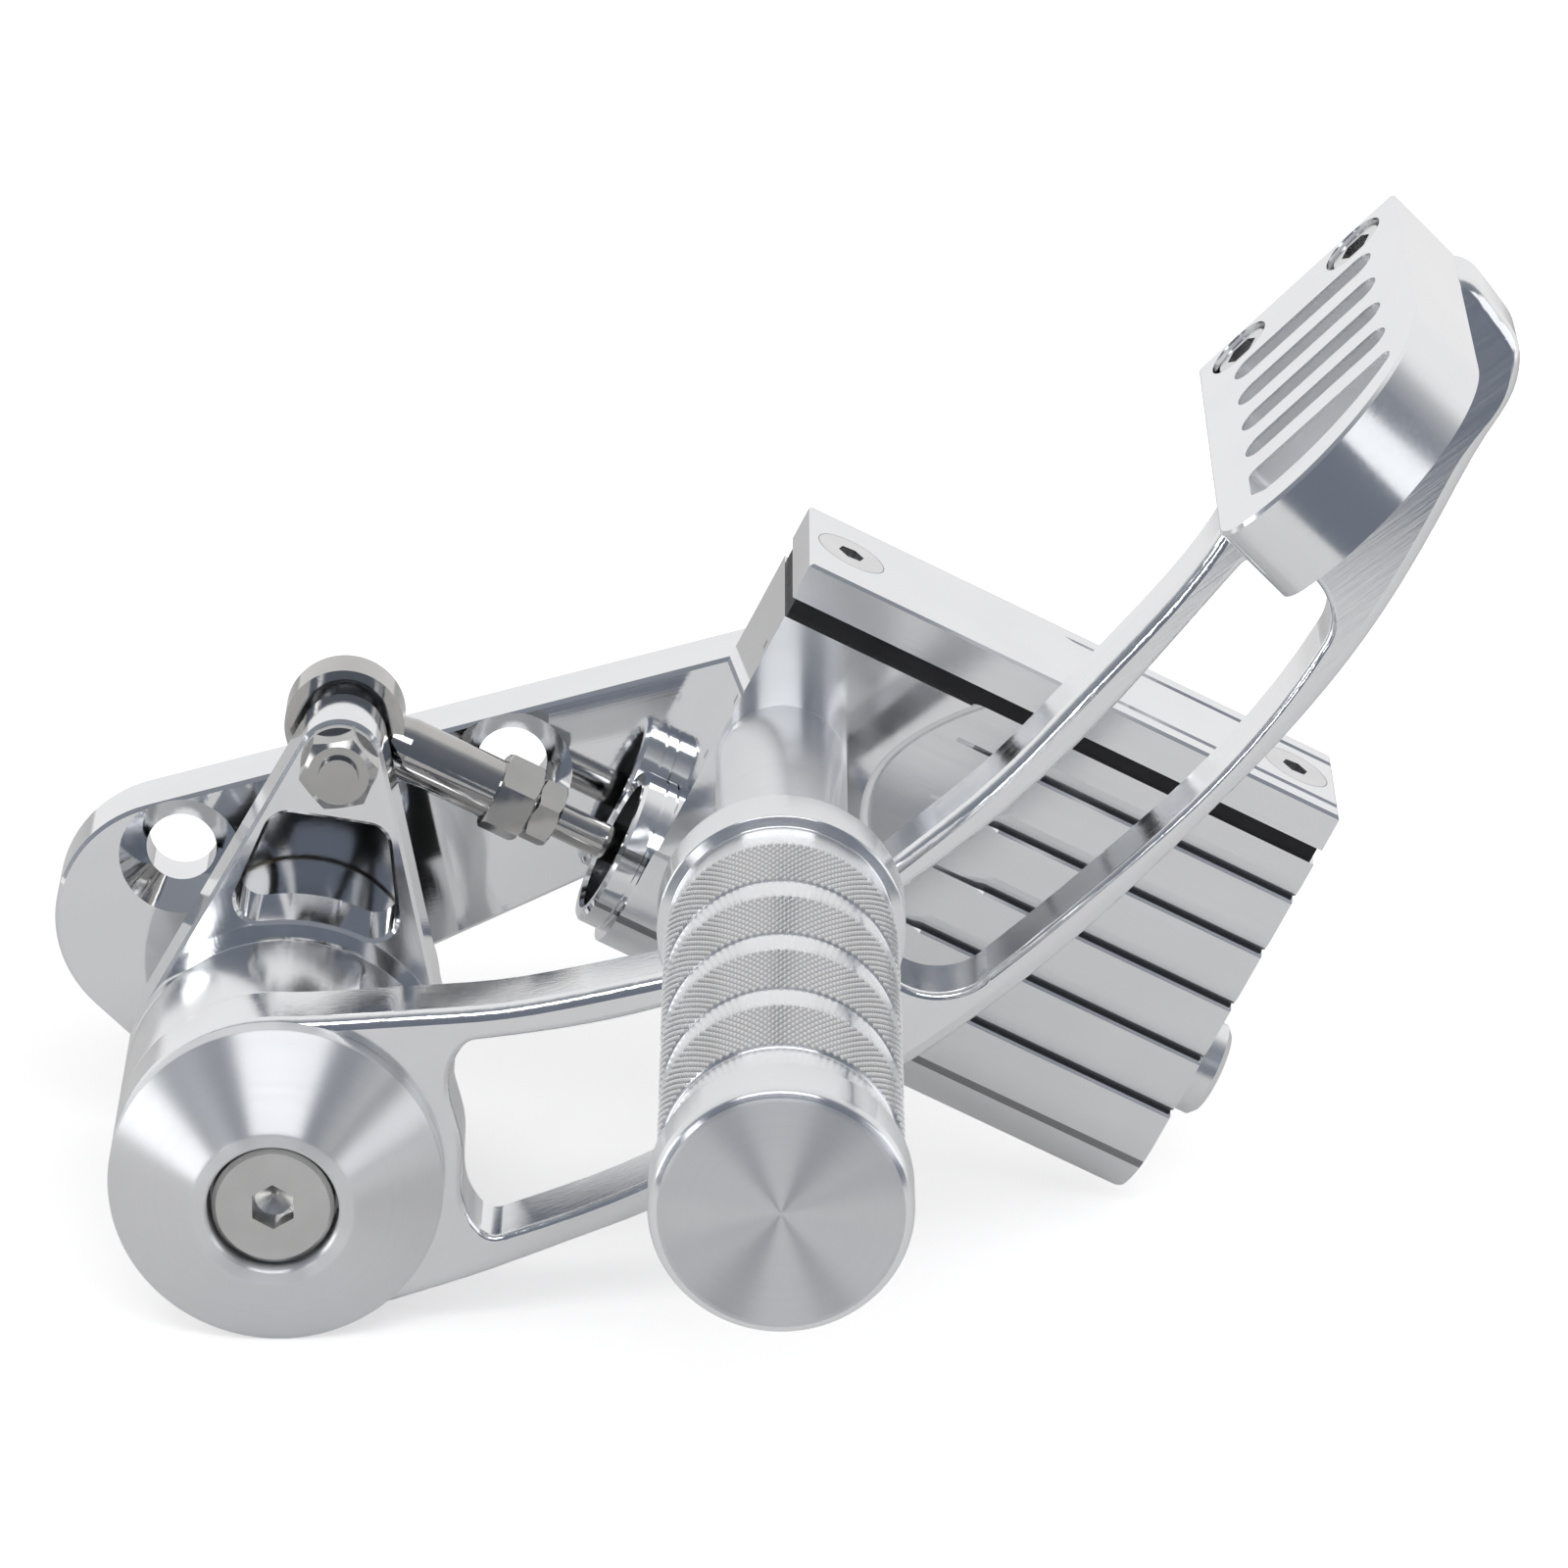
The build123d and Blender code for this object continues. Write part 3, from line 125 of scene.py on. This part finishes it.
def add(tree, kind, settings=None, output=0, **sockets):
    """A new node of a kind, with its settings made first and its sockets fed after them."""
    node = tree.nodes.new(kind)
    for name, value in (settings or {}).items():
        if name == "stops":
            ramp = node.color_ramp.elements
            while len(ramp) < len(value):
                ramp.new(1.0)
            for stop, (place, colour) in zip(ramp, value):
                stop.position = place
                stop.color = colour
        else:
            setattr(node, name, value)
    for name, value in sockets.items():
        feed(node.inputs[int(name[1:]) if name[0] == "_" else name.replace("_", " ")], value)
    return Tap(node.outputs[output])


# The room: white paper under and behind the object, a wide soft lamp above it towards the camera, and a
# lit card at each side. The paper ends half a metre in front of the object, and past it the unlit end of
# the room shows in the polished metal as grey-blue bands.
def area_lamp(name, place, aim, width, height, radiance):
    lamp = bpy.data.lights.new(name, "AREA")
    lamp.shape = "RECTANGLE"
    lamp.size, lamp.size_y = width, height
    lamp.energy = radiance * math.pi * width * height
    holder = bpy.data.objects.new(name, lamp)
    holder.location = place
    holder.rotation_euler = (Vector(aim) - Vector(place)).to_track_quat("-Z", "Y").to_euler()
    bpy.context.scene.collection.objects.link(holder)


middle = (cad_box[0] + cad_box[1]) / 2
area_lamp("front_softbox", (0.03, -0.85, 0.95), middle, 0.95, 0.42, 3.1)
area_lamp("left_lamp", (-0.50, -1.15, 0.16), middle, 0.12, 0.18, 6.0)
area_lamp("left_card", (-1.10, -0.55, 0.16), middle, 0.60, 0.55, 2.2)
area_lamp("right_card", (1.10, -0.55, 0.26), middle, 1.30, 0.50, 0.85)

world = bpy.data.worlds.new("studio")
bpy.context.scene.world = world
world.use_nodes = True
world_tree = world.node_tree
world_tree.nodes.clear()
toward = add(world_tree, "ShaderNodeSeparateXYZ", output=1, Vector=add(world_tree, "ShaderNodeTexCoord"))
room_stops = [
    (0.0, (0.15, 0.17, 0.21, 1.0)), (0.38, (0.24, 0.26, 0.295, 1.0)),
    (0.52, (0.45, 0.465, 0.485, 1.0)), (0.62, (0.80, 0.805, 0.81, 1.0)), (0.70, (0.88, 0.88, 0.885, 1.0)),
]
room = add(world_tree, "ShaderNodeValToRGB", {"stops": room_stops}, Fac=toward * 0.5 + 0.5)
ray = world_tree.nodes.new("ShaderNodeLightPath")
mirrored_ray = Tap(ray.outputs["Is Glossy Ray"]).math("MAXIMUM", Tap(ray.outputs["Is Transmission Ray"]))
seen = add(world_tree, "ShaderNodeBackground", Color=(1.0, 1.0, 1.0, 1.0), Strength=1.0)
mirrored = add(world_tree, "ShaderNodeBackground", Color=room, Strength=1.0)
ambient = add(world_tree, "ShaderNodeBackground", Color=(1.0, 1.0, 1.0, 1.0), Strength=0.45)
lit = add(world_tree, "ShaderNodeMixShader", _0=mirrored_ray, _1=ambient, _2=mirrored)
shown = add(world_tree, "ShaderNodeMixShader", _0=Tap(ray.outputs["Is Camera Ray"]), _1=lit, _2=seen)
feed(world_tree.nodes.new("ShaderNodeOutputWorld").inputs["Surface"], shown)

floor_half, floor_front = 5.0, -0.46
floor_z = cad_box[0].z - 0.0001
floor_mesh = bpy.data.meshes.new("floor")
floor_corners = [(-floor_half, floor_front, floor_z), (floor_half, floor_front, floor_z),
                 (floor_half, floor_half, floor_z), (-floor_half, floor_half, floor_z)]
floor_mesh.from_pydata(floor_corners, [], [(0, 1, 2, 3)])
floor = bpy.data.objects.new("floor", floor_mesh)
bpy.context.scene.collection.objects.link(floor)
paper = bpy.data.materials.new("white_paper")
paper.use_nodes = True
paper_tree = paper.node_tree
paper_tree.nodes.clear()
sheet = add(paper_tree, "ShaderNodeBsdfDiffuse", Color=(0.90, 0.90, 0.905, 1.0))
away = add(paper_tree, "ShaderNodeVectorMath", {"operation": "LENGTH"}, output=1,
           _0=add(paper_tree, "ShaderNodeTexCoord", output=3))
seen_floor = away.math("MINIMUM", 0.5) * 1.4 + 0.34
far_floor = (away - 0.7).math("MAXIMUM", 0.0).math("MINIMUM", 0.45)
direct = add(paper_tree, "ShaderNodeLightPath")
glow = add(paper_tree, "ShaderNodeEmission", Color=(1.0, 1.0, 1.0, 1.0),
           Strength=direct * seen_floor + (1.0 - direct) * far_floor)
both = add(paper_tree, "ShaderNodeAddShader", _0=sheet, _1=glow)
feed(paper_tree.nodes.new("ShaderNodeOutputMaterial").inputs["Surface"], both)
floor_mesh.materials.append(paper)


# Mounting plate: 12 mm aluminium bar, sawn to outline, chamfered and buffed to a mirror by hand. Buffing
# leaves slow waves and a haze of hair-fine scratches along the plate.
mm = 0.001
polished = (0.905, 0.91, 0.92)


def metal(name, colour, roughness, anisotropy=0.0, turn=0.0):
    """A new metal with its node tree and its shader node."""
    finish = bpy.data.materials.new(name)
    finish.use_nodes = True
    tree = finish.node_tree
    shader = tree.nodes["Principled BSDF"]
    shader.inputs["Base Color"].default_value = (*colour, 1.0)
    shader.inputs["Metallic"].default_value = 1.0
    shader.inputs["Roughness"].default_value = roughness
    shader.inputs["Anisotropic"].default_value = anisotropy
    shader.inputs["Anisotropic Rotation"].default_value = turn
    return finish, tree, shader


def tones(tree, amount, dark, light):
    """Two colours mixed by a value from 0 to 1."""
    return add(tree, "ShaderNodeMix", {"data_type": "RGBA"}, output=2, _0=amount,
               _6=dark if isinstance(dark, Tap) else (*dark, 1.0), _7=(*light, 1.0))


def darker(colour, share):
    return tuple(channel * share for channel in colour)


def leaning(tree, turn, origin=(0.0, 0.0, 0.0)):
    """Places on the object in axes that lean down to the right by turn."""
    place = add(tree, "ShaderNodeTexCoord", output=3)
    return add(tree, "ShaderNodeMapping", {"vector_type": "TEXTURE"}, Vector=place, Location=origin,
               Rotation=(0.0, turn, 0.0))


def streaks(tree, place, along, across, detail=3.0):
    """Noise drawn out along X, from 0 to 1."""
    drawn = add(tree, "ShaderNodeMapping", Vector=place, Scale=(along, across, across))
    return add(tree, "ShaderNodeTexNoise", Vector=drawn, Scale=1.0, Detail=detail, Roughness=0.65)


def dress(finish, *names):
    """Puts a material on CAD nodes in place of their plain one."""
    for name in names:
        slots = nodes[name].data.materials
        slots.clear()
        slots.append(finish)


plate_rise = math.radians(-15.2)
plate_finish, tree, shader = metal("mirror_plate", polished, 0.05)
place = leaning(tree, plate_rise)
hairs = streaks(tree, place, 30.0, 2600.0)
haze = streaks(tree, place, 16.0, 60.0, 2.0)
waves = add(tree, "ShaderNodeTexNoise", Vector=place, Scale=38.0, Detail=1.0)
feed(shader.inputs["Base Color"], tones(tree, haze * 1.2, darker(polished, 0.93), polished))
feed(shader.inputs["Roughness"], (hairs - 0.5) * 0.06 + (haze - 0.5) * 0.07 + 0.055)
swell = add(tree, "ShaderNodeBump", Strength=1.0, Distance=0.10 * mm, Height=waves)
feed(shader.inputs["Normal"], add(tree, "ShaderNodeBump", Strength=1.0, Distance=0.0025 * mm, Height=hairs,
                                  Normal=swell))
dress(plate_finish, "mounting_plate")


# Housing: one billet, milled along its length so that the fin face keeps straight tool lines. Its left
# end and the raised flat round the post are buffed bright, and the flat keeps a satin grain.
slant = math.radians(27.0)
housing_origin = (0.0435, 0.0, -0.0005)
body_left = 4.7 * mm
fin_face = -38.6 * mm
lowest_slot, slot_pitch, slot_share = 4.2 * mm, 10.5 * mm, 0.07
# Painted shade: the dark colour painted on the slot floors between the fins.
painted_slot_shade = (0.30, 0.30, 0.305)
housing_finish, tree, shader = metal("milled_housing", polished, 0.2)
place = leaning(tree, slant, housing_origin)
axes = add(tree, "ShaderNodeSeparateXYZ", Vector=place)
along, depth = axes, Tap(axes.socket.node.outputs[1])
fins = depth.math("GREATER_THAN", fin_face - 1.9 * mm) * along.math("GREATER_THAN", body_left + 0.2 * mm)
end_face = along.math("COMPARE", body_left, 0.05 * mm)
lines = streaks(tree, place, 14.0, 2200.0)
bands = streaks(tree, place, 9.0, 420.0, 2.0)
blotches = add(tree, "ShaderNodeTexNoise", Vector=place, Scale=95.0, Detail=3.0)
up = Tap(axes.socket.node.outputs[2])
# The slots between the fins get painted shade: their floors are darkened in the base colour, placed by height
# and depth alone.
# That also leaves four small dots of painted shade on the left end face and a grey stripe along the barrel,
# which the real piece doesn't have.
near_slot = ((up - lowest_slot) * (1.0 / slot_pitch) + 0.5).math("FRACT").math("COMPARE", 0.5, slot_share)
slot_shade_mask = near_slot * depth.math("GREATER_THAN", fin_face + 0.5 * mm)
slot_shade_mask = slot_shade_mask * depth.math("LESS_THAN", fin_face + 2.4 * mm)
skin = tones(tree, (blotches - 0.25) * 1.4, darker(polished, 0.94), polished)
feed(shader.inputs["Base Color"], tones(tree, slot_shade_mask, skin, painted_slot_shade))
grain = (lines - 0.5) * 0.10 + (bands - 0.5) * 0.12 + (blotches - 0.5) * 0.08
feed(shader.inputs["Roughness"], (fins * 0.13 + 0.10 + grain * (fins * 0.6 + 0.4)) * (1.0 - end_face * 0.6))
tool_lines = add(tree, "ShaderNodeBump", Strength=0.7, Distance=0.006 * mm, Height=lines * fins + bands * 0.6)
feed(shader.inputs["Normal"], tool_lines)
dress(housing_finish, "housing")


# Reservoir lid: a flat bar with two long grooves, fly-cut on top and held down by two countersunk screws
# whose heads are ground flush and polished with it.
lid_finish, tree, shader = metal("milled_lid", polished, 0.2)
place = leaning(tree, slant, housing_origin)
lines = streaks(tree, place, 22.0, 1500.0)
patches = add(tree, "ShaderNodeTexNoise", Vector=place, Scale=70.0, Detail=2.0)
feed(shader.inputs["Base Color"], tones(tree, patches * 1.3, darker(polished, 0.93), polished))
feed(shader.inputs["Roughness"], (lines - 0.5) * 0.12 + (patches - 0.5) * 0.10 + 0.20)
feed(shader.inputs["Normal"], add(tree, "ShaderNodeBump", Strength=0.6, Distance=0.006 * mm, Height=lines))
dress(lid_finish, "reservoir_lid")


# Pedal arm, crank lever and toe pad: profile-milled from plate, their edges rounded over and the faces
# linished along the arm, which leaves short slanting scratches under the polish.
arm_rise = math.radians(-38.0)
arm_finish, tree, shader = metal("linished_arm", polished, 0.12)
place = leaning(tree, arm_rise)
scratches = streaks(tree, place, 60.0, 1400.0, 4.0)
wipes = streaks(tree, place, 25.0, 180.0, 2.0)
feed(shader.inputs["Base Color"], tones(tree, wipes * 1.2, darker(polished, 0.92), polished))
feed(shader.inputs["Roughness"], (scratches - 0.5) * 0.14 + (wipes - 0.5) * 0.10 + 0.13)
feed(shader.inputs["Normal"], add(tree, "ShaderNodeBump", Strength=0.9, Distance=0.014 * mm,
                                  Height=scratches))
dress(arm_finish, "pedal_arm")

lever_finish, tree, shader = metal("polished_lever", polished, 0.08)
place = leaning(tree, math.radians(80.0))
rubs = streaks(tree, place, 40.0, 2000.0)
smears = streaks(tree, place, 22.0, 140.0, 2.0)
feed(shader.inputs["Base Color"], tones(tree, smears * 1.2, darker(polished, 0.90), darker(polished, 0.98)))
feed(shader.inputs["Roughness"], (rubs - 0.5) * 0.08 + (smears - 0.5) * 0.10 + 0.09)
feed(shader.inputs["Normal"], add(tree, "ShaderNodeBump", Strength=0.7, Distance=0.004 * mm, Height=rubs))
dress(lever_finish, "crank_lever")

pad_finish, tree, shader = metal("satin_toe_pad", polished, 0.14)
place = leaning(tree, math.radians(-44.2), (0.1447, 0.0, 0.0853))
grain = streaks(tree, place, 90.0, 1600.0)
parts = add(tree, "ShaderNodeSeparateXYZ", Vector=place)
x, y, z = parts, Tap(parts.socket.node.outputs[1]), Tap(parts.socket.node.outputs[2])
nose_x, nose_y = x - 14.2 * mm, (y + 124.4 * mm).math("MINIMUM", 0.0)
inside = (nose_x * nose_x + nose_y * nose_y).math("LESS_THAN", (23.5 * mm) ** 2)
slots = inside * x.math("GREATER_THAN", 6.0 * mm) * z.math("LESS_THAN", 13.3 * mm)
soft = add(tree, "ShaderNodeTexNoise", Vector=place, Scale=60.0, Detail=3.0)
feed(shader.inputs["Base Color"], tones(tree, soft * 1.3, darker(polished, 0.93), polished))
feed(shader.inputs["Roughness"], (grain - 0.5) * 0.10 + (soft - 0.5) * 0.08 + 0.13 + slots * 0.32)
feed(shader.inputs["Normal"], add(tree, "ShaderNodeBump", Strength=0.6, Distance=0.004 * mm, Height=grain))
dress(pad_finish, "toe_pad")


# Gasket and seals: black nitrile rubber, moulded matt, with a faint bloom.
rubber = bpy.data.materials.new("nitrile_rubber")
rubber.use_nodes = True
tree = rubber.node_tree
shader = tree.nodes["Principled BSDF"]
shader.inputs["Specular IOR Level"].default_value = 0.35
place = add(tree, "ShaderNodeTexCoord", output=3)
pores = add(tree, "ShaderNodeTexNoise", Vector=place, Scale=900.0, Detail=4.0)
bloom = add(tree, "ShaderNodeTexNoise", Vector=place, Scale=120.0)
feed(shader.inputs["Base Color"], tones(tree, bloom, (0.006, 0.006, 0.007), (0.022, 0.022, 0.024)))
feed(shader.inputs["Roughness"], pores * 0.3 + 0.40)
feed(shader.inputs["Normal"], add(tree, "ShaderNodeBump", Strength=0.4, Distance=0.03 * mm, Height=pores))
dress(rubber, "diaphragm", "primary_cup", "secondary_seal")


# Turned pieces: post, hub, cap and peg come off a lathe, and the tool leaves a fine thread of rings that
# spreads every highlight square to them. Each is spun here from its profile, with its axis as its own Z.
turned_colour = (0.91, 0.915, 0.925)


def soften(points, radius, steps=4):
    """A profile with its corners rounded, given as (radius, y) points in millimetres."""
    out = [points[0]]
    for before, corner, after in zip(points, points[1:], points[2:]):
        here = Vector(corner)
        back, ahead = Vector(before) - here, Vector(after) - here
        start = here + back.normalized() * min(radius, back.length * 0.45)
        end = here + ahead.normalized() * min(radius, ahead.length * 0.45)
        for step in range(steps + 1):
            t = step / steps
            out.append(tuple(start * (1 - t) ** 2 + here * (2 * t * (1 - t)) + end * t ** 2))
    return out + [points[-1]]


def axis_of(node):
    low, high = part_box(node)
    return (low.x + high.x) / 2, (low.z + high.z) / 2


def spun(name, node, body, profile, finish, segments=192, closed=False):
    """A mesh turned from its profile about the axis of the CAD node that it stands for."""
    verts, rings = [], []
    for radius, y in profile:
        count = 1 if radius < 1e-6 else segments
        rings.append((len(verts), count))
        for index in range(count):
            angle = 2 * math.pi * index / segments
            verts.append((radius * mm * math.cos(angle), radius * mm * math.sin(angle), y * mm))
    faces = []
    pairs = list(zip(rings, rings[1:])) + ([(rings[-1], rings[0])] if closed else [])
    for (first, few), (second, many) in pairs:
        for index in range(segments):
            following = (index + 1) % segments
            ring = [first + index % few, first + following % few,
                    second + following % many, second + index % many]
            faces.append(list(dict.fromkeys(ring)))
    mesh = bpy.data.meshes.new(name)
    mesh.from_pydata(verts, [], faces)
    mesh.materials.append(finish)
    mesh.shade_smooth()
    mesh.set_sharp_from_angle(angle=math.radians(32.0))
    piece = bpy.data.objects.new(name, mesh)
    x, z = axis_of(node)
    piece.location = (x, 0.0, z)
    piece.rotation_euler = (math.radians(-90.0), 0.0, 0.0)
    bpy.context.scene.collection.objects.link(piece)
    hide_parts(node)
    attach(piece, body)


def turned(name, colour, roughness, rings=900.0, depth=0.0015, anisotropy=0.95, faced=None):
    """A lathe-turned metal with fine rings round the piece's own Z. Past faced it is rougher."""
    finish, tree, shader = metal(name, colour, roughness, anisotropy, 0.25)
    place = add(tree, "ShaderNodeTexCoord", output=3)
    parts = add(tree, "ShaderNodeSeparateXYZ", Vector=place)
    x, y, z = parts, Tap(parts.socket.node.outputs[1]), Tap(parts.socket.node.outputs[2])
    out = (x * x + y * y) ** 0.5
    at = add(tree, "ShaderNodeCombineXYZ", X=out * rings, Y=z * rings, Z=0.0)
    thread = add(tree, "ShaderNodeTexNoise", Vector=at, Scale=1.0, Detail=3.0, Roughness=0.7)
    cloud = add(tree, "ShaderNodeTexNoise", Vector=place, Scale=70.0, Detail=2.0)
    feed(shader.inputs["Base Color"], tones(tree, thread * 0.7 + cloud * 0.5, darker(colour, 0.90), colour))
    coarse = z.math("LESS_THAN", faced * mm) * 0.24 if faced else 0.0
    feed(shader.inputs["Roughness"], (thread - 0.5) * 0.10 + (cloud - 0.5) * 0.06 + roughness + coarse)
    feed(shader.inputs["Normal"], add(tree, "ShaderNodeBump", Strength=0.8, Distance=depth * mm,
                                      Height=thread))
    return finish


turned_finish = turned("turned_aluminium", turned_colour, 0.30)
post_low, post_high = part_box("peg_post")
post_radius = (post_high.x - post_low.x) / 2 / mm
post_front, post_back = post_low.y / mm, post_high.y / mm
spun("post", "peg_post", "base",
     soften([(5.2, post_front), (post_radius, post_front), (post_radius, post_back), (5.2, post_back)], 0.25),
     turned_finish, closed=True)

hub_low, hub_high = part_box("pivot_hub")
hub_radius = (hub_high.x - hub_low.x) / 2 / mm
spun("hub", "pivot_hub", "pedal",
     soften([(12.5, hub_low.y / mm), (hub_radius, hub_low.y / mm), (hub_radius, hub_high.y / mm),
             (12.5, hub_high.y / mm)], 0.25),
     turned("polished_hub", polished, 0.16, depth=0.001, anisotropy=0.8), closed=True)

cap_low, cap_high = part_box("pivot_cap")
cap_front, cap_back = cap_low.y / mm, cap_high.y / mm
rim = (cap_high.x - cap_low.x) / 2 / mm
cap_profile = soften([
    (10.2, cap_back), (rim, cap_back), (rim, cap_back - 3.4), (13.3, cap_front + 0.3), (12.8, cap_front),
    (10.8, cap_front), (10.4, cap_front + 0.4), (10.4, cap_front + 8.7), (4.2, cap_front + 8.7),
    (4.2, cap_back - 2.3), (10.2, cap_back - 2.3)], 0.22)
spun("cap", "pivot_cap", "base", cap_profile,
     turned("turned_cap", turned_colour, 0.36, rings=1300.0), closed=True)


# Foot peg: turned from bar, its flange faced and its four bands diamond-knurled by a pair of wheels.
# The grooves between the bands are cut after the knurl, so they start with a row of cut diamonds.
peg_low, peg_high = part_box("peg_sleeve")
flange = (peg_high.x - peg_low.x) / 2 / mm
front, rear = peg_low.y / mm, peg_high.y / mm
neck, knurl, groove_radius = 17.2, 18.0, 17.0
knurl_depth = 0.44
columns = 196
bands, groove = 4, 6.6
first, last = front + 19.9, rear - 17.5
band = (last - first - (bands - 1) * groove) / bands
rows = 15
profile = soften([
    (0.0, front), (flange - 1.8, front), (flange - 0.45, front + 0.6), (flange, front + 1.8),
    (flange, front + 10.0), (neck, front + 10.4), (neck, first - 0.3),
    (knurl - knurl_depth, first - 0.1)], 0.35)
peg_rings = [(radius, y, False) for radius, y in profile]
for index in range(bands):
    start = first + index * (band + groove)
    peg_rings += [(knurl, start + band * row / rows, True) for row in range(rows + 1)]
    if index < bands - 1:
        edge = knurl - knurl_depth
        for share in (0.01, 0.04, 0.12, 0.25, 0.38, 0.5, 0.62, 0.75, 0.88, 0.96, 0.99):
            sag = (edge - groove_radius) * math.sin(math.pi * share) ** 0.8
            peg_rings.append((edge - sag, start + band + groove * share, False))
profile = soften([
    (knurl - knurl_depth, last + 0.1), (neck, last + 0.3), (neck, rear - 9.4), (flange, rear - 9.0),
    (flange, rear), (5.4, rear), (5.4, rear - 20.0), (0.0, rear - 20.0)], 0.35)
peg_rings += [(radius, y, False) for radius, y in profile]
verts, starts = [], []
for row, (radius, y, cut) in enumerate(peg_rings):
    starts.append(len(verts))
    for column in range(columns if radius > 1e-6 else 1):
        angle = 2 * math.pi * column / columns
        r = radius - (knurl_depth if cut and (row + column) % 2 else 0.0)
        verts.append((r * mm * math.cos(angle), r * mm * math.sin(angle), y * mm))
starts.append(len(verts))
faces, knurled = [], []
for row in range(len(peg_rings) - 1):
    cut = peg_rings[row][2] and peg_rings[row + 1][2]
    for column in range(columns):
        following = (column + 1) % columns
        few, many = starts[row + 1] - starts[row], starts[row + 2] - starts[row + 1]
        a, b = starts[row] + column % few, starts[row] + following % few
        c, d = starts[row + 1] + following % many, starts[row + 1] + column % many
        if not cut:
            faces.append(list(dict.fromkeys((a, b, c, d))))
        elif (row + column) % 2:
            faces += [(a, b, c), (a, c, d)]
        else:
            faces += [(a, b, d), (b, c, d)]
        knurled += [cut] * (len(faces) - len(knurled))
peg_mesh = bpy.data.meshes.new("peg")
peg_mesh.from_pydata(verts, [], faces)
peg_mesh.materials.append(turned("turned_peg", turned_colour, 0.22, rings=1100.0, depth=0.001,
                                 faced=front + 0.2))
knurl_finish, tree, shader = metal("knurled_aluminium", (0.80, 0.81, 0.82), 0.22)
place = add(tree, "ShaderNodeTexCoord", output=3)
burrs = add(tree, "ShaderNodeTexNoise", Vector=place, Scale=1400.0, Detail=2.0)
parts = add(tree, "ShaderNodeSeparateXYZ", Vector=place)
x, y = parts, Tap(parts.socket.node.outputs[1])
# The knurl's colour is painted light: the valleys are painted dark as painted shade and the crests lighter as
# a painted highlight, blended by height above the valley floor with random burrs.
height = ((x * x + y * y) ** 0.5 - (knurl - knurl_depth) * mm) * (1.0 / (knurl_depth * mm))
valley_painted_shade, crest_painted_highlight = (0.36, 0.36, 0.365), (0.95, 0.955, 0.96)
feed(shader.inputs["Base Color"], tones(tree, height + burrs * 0.2 - 0.1, valley_painted_shade, crest_painted_highlight))
feed(shader.inputs["Roughness"], burrs * 0.16 + 0.20)
feed(shader.inputs["Normal"], add(tree, "ShaderNodeBump", Strength=0.3, Distance=0.006 * mm, Height=burrs))
peg_mesh.materials.append(knurl_finish)
peg_mesh.shade_smooth()
peg_mesh.set_sharp_from_angle(angle=math.radians(32.0))
for face, cut in zip(peg_mesh.polygons, knurled):
    face.material_index = int(cut)
    face.use_smooth = not cut
peg = bpy.data.objects.new("peg", peg_mesh)
peg_x, peg_z = axis_of("peg_sleeve")
peg.location = (peg_x, 0.0, peg_z)
peg.rotation_euler = (math.radians(-90.0), 0.0, 0.0)
bpy.context.scene.collection.objects.link(peg)
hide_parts("peg_sleeve")
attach(peg, "base")


# Rod end, nuts and screws: stainless steel, machined and tumbled, a shade darker and warmer than the
# aluminium round it. Rolled threads and hexagons keep their tool marks.
def steel(name, colour, roughness, scale=500.0):
    finish, tree, shader = metal(name, colour, roughness)
    place = add(tree, "ShaderNodeTexCoord", output=3)
    marks = add(tree, "ShaderNodeTexNoise", Vector=place, Scale=scale, Detail=3.0)
    stain = add(tree, "ShaderNodeTexNoise", Vector=place, Scale=140.0, Detail=2.0)
    feed(shader.inputs["Base Color"], tones(tree, stain, darker(colour, 0.78), colour))
    feed(shader.inputs["Roughness"], (marks - 0.5) * 0.16 + roughness)
    feed(shader.inputs["Normal"], add(tree, "ShaderNodeBump", Strength=0.5, Distance=0.012 * mm,
                                      Height=marks))
    return finish


dress(steel("tumbled_steel", (0.58, 0.57, 0.555), 0.08), "rod_end_body", "jam_nut", "pushrod")
dress(steel("plated_steel", (0.54, 0.535, 0.525), 0.14), "link_nut", "link_bolt", "link_spacer")
dress(steel("head_steel", (0.70, 0.695, 0.685), 0.24, 220.0), "pivot_bolt")
dress(steel("polished_screws", (0.86, 0.86, 0.865), 0.20), "lid_screws", "toe_pad_screws")
dress(steel("ground_steel", (0.55, 0.55, 0.56), 0.14), "rod_end_ball", "rod_end_race", "pivot_shaft",
      "dowel_pins", "circlip", "stop_washer")
dress(steel("plain_steel", (0.55, 0.54, 0.52), 0.32), "peg_bolt", "hub_screws", "housing_screws")
dress(steel("bronze", (0.62, 0.54, 0.40), 0.30), "pivot_bushes", "thrust_washers")
dress(steel("turned_piston", (0.80, 0.80, 0.80), 0.22), "piston")


# Return spring: wound from hard-drawn wire, its far end on the bottom of the bore and its near end on the
# piston.
# On the real piece it shortens as the piston slides in; here it is a fixed copy of the CAD coil.
coil = nodes["return_spring"].data.copy()
coil.materials.clear()
coil.materials.append(steel("spring_wire", (0.50, 0.50, 0.51), 0.22))
spring = bpy.data.objects.new("spring", coil)
bpy.context.scene.collection.objects.link(spring)
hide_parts("return_spring")
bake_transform(spring)
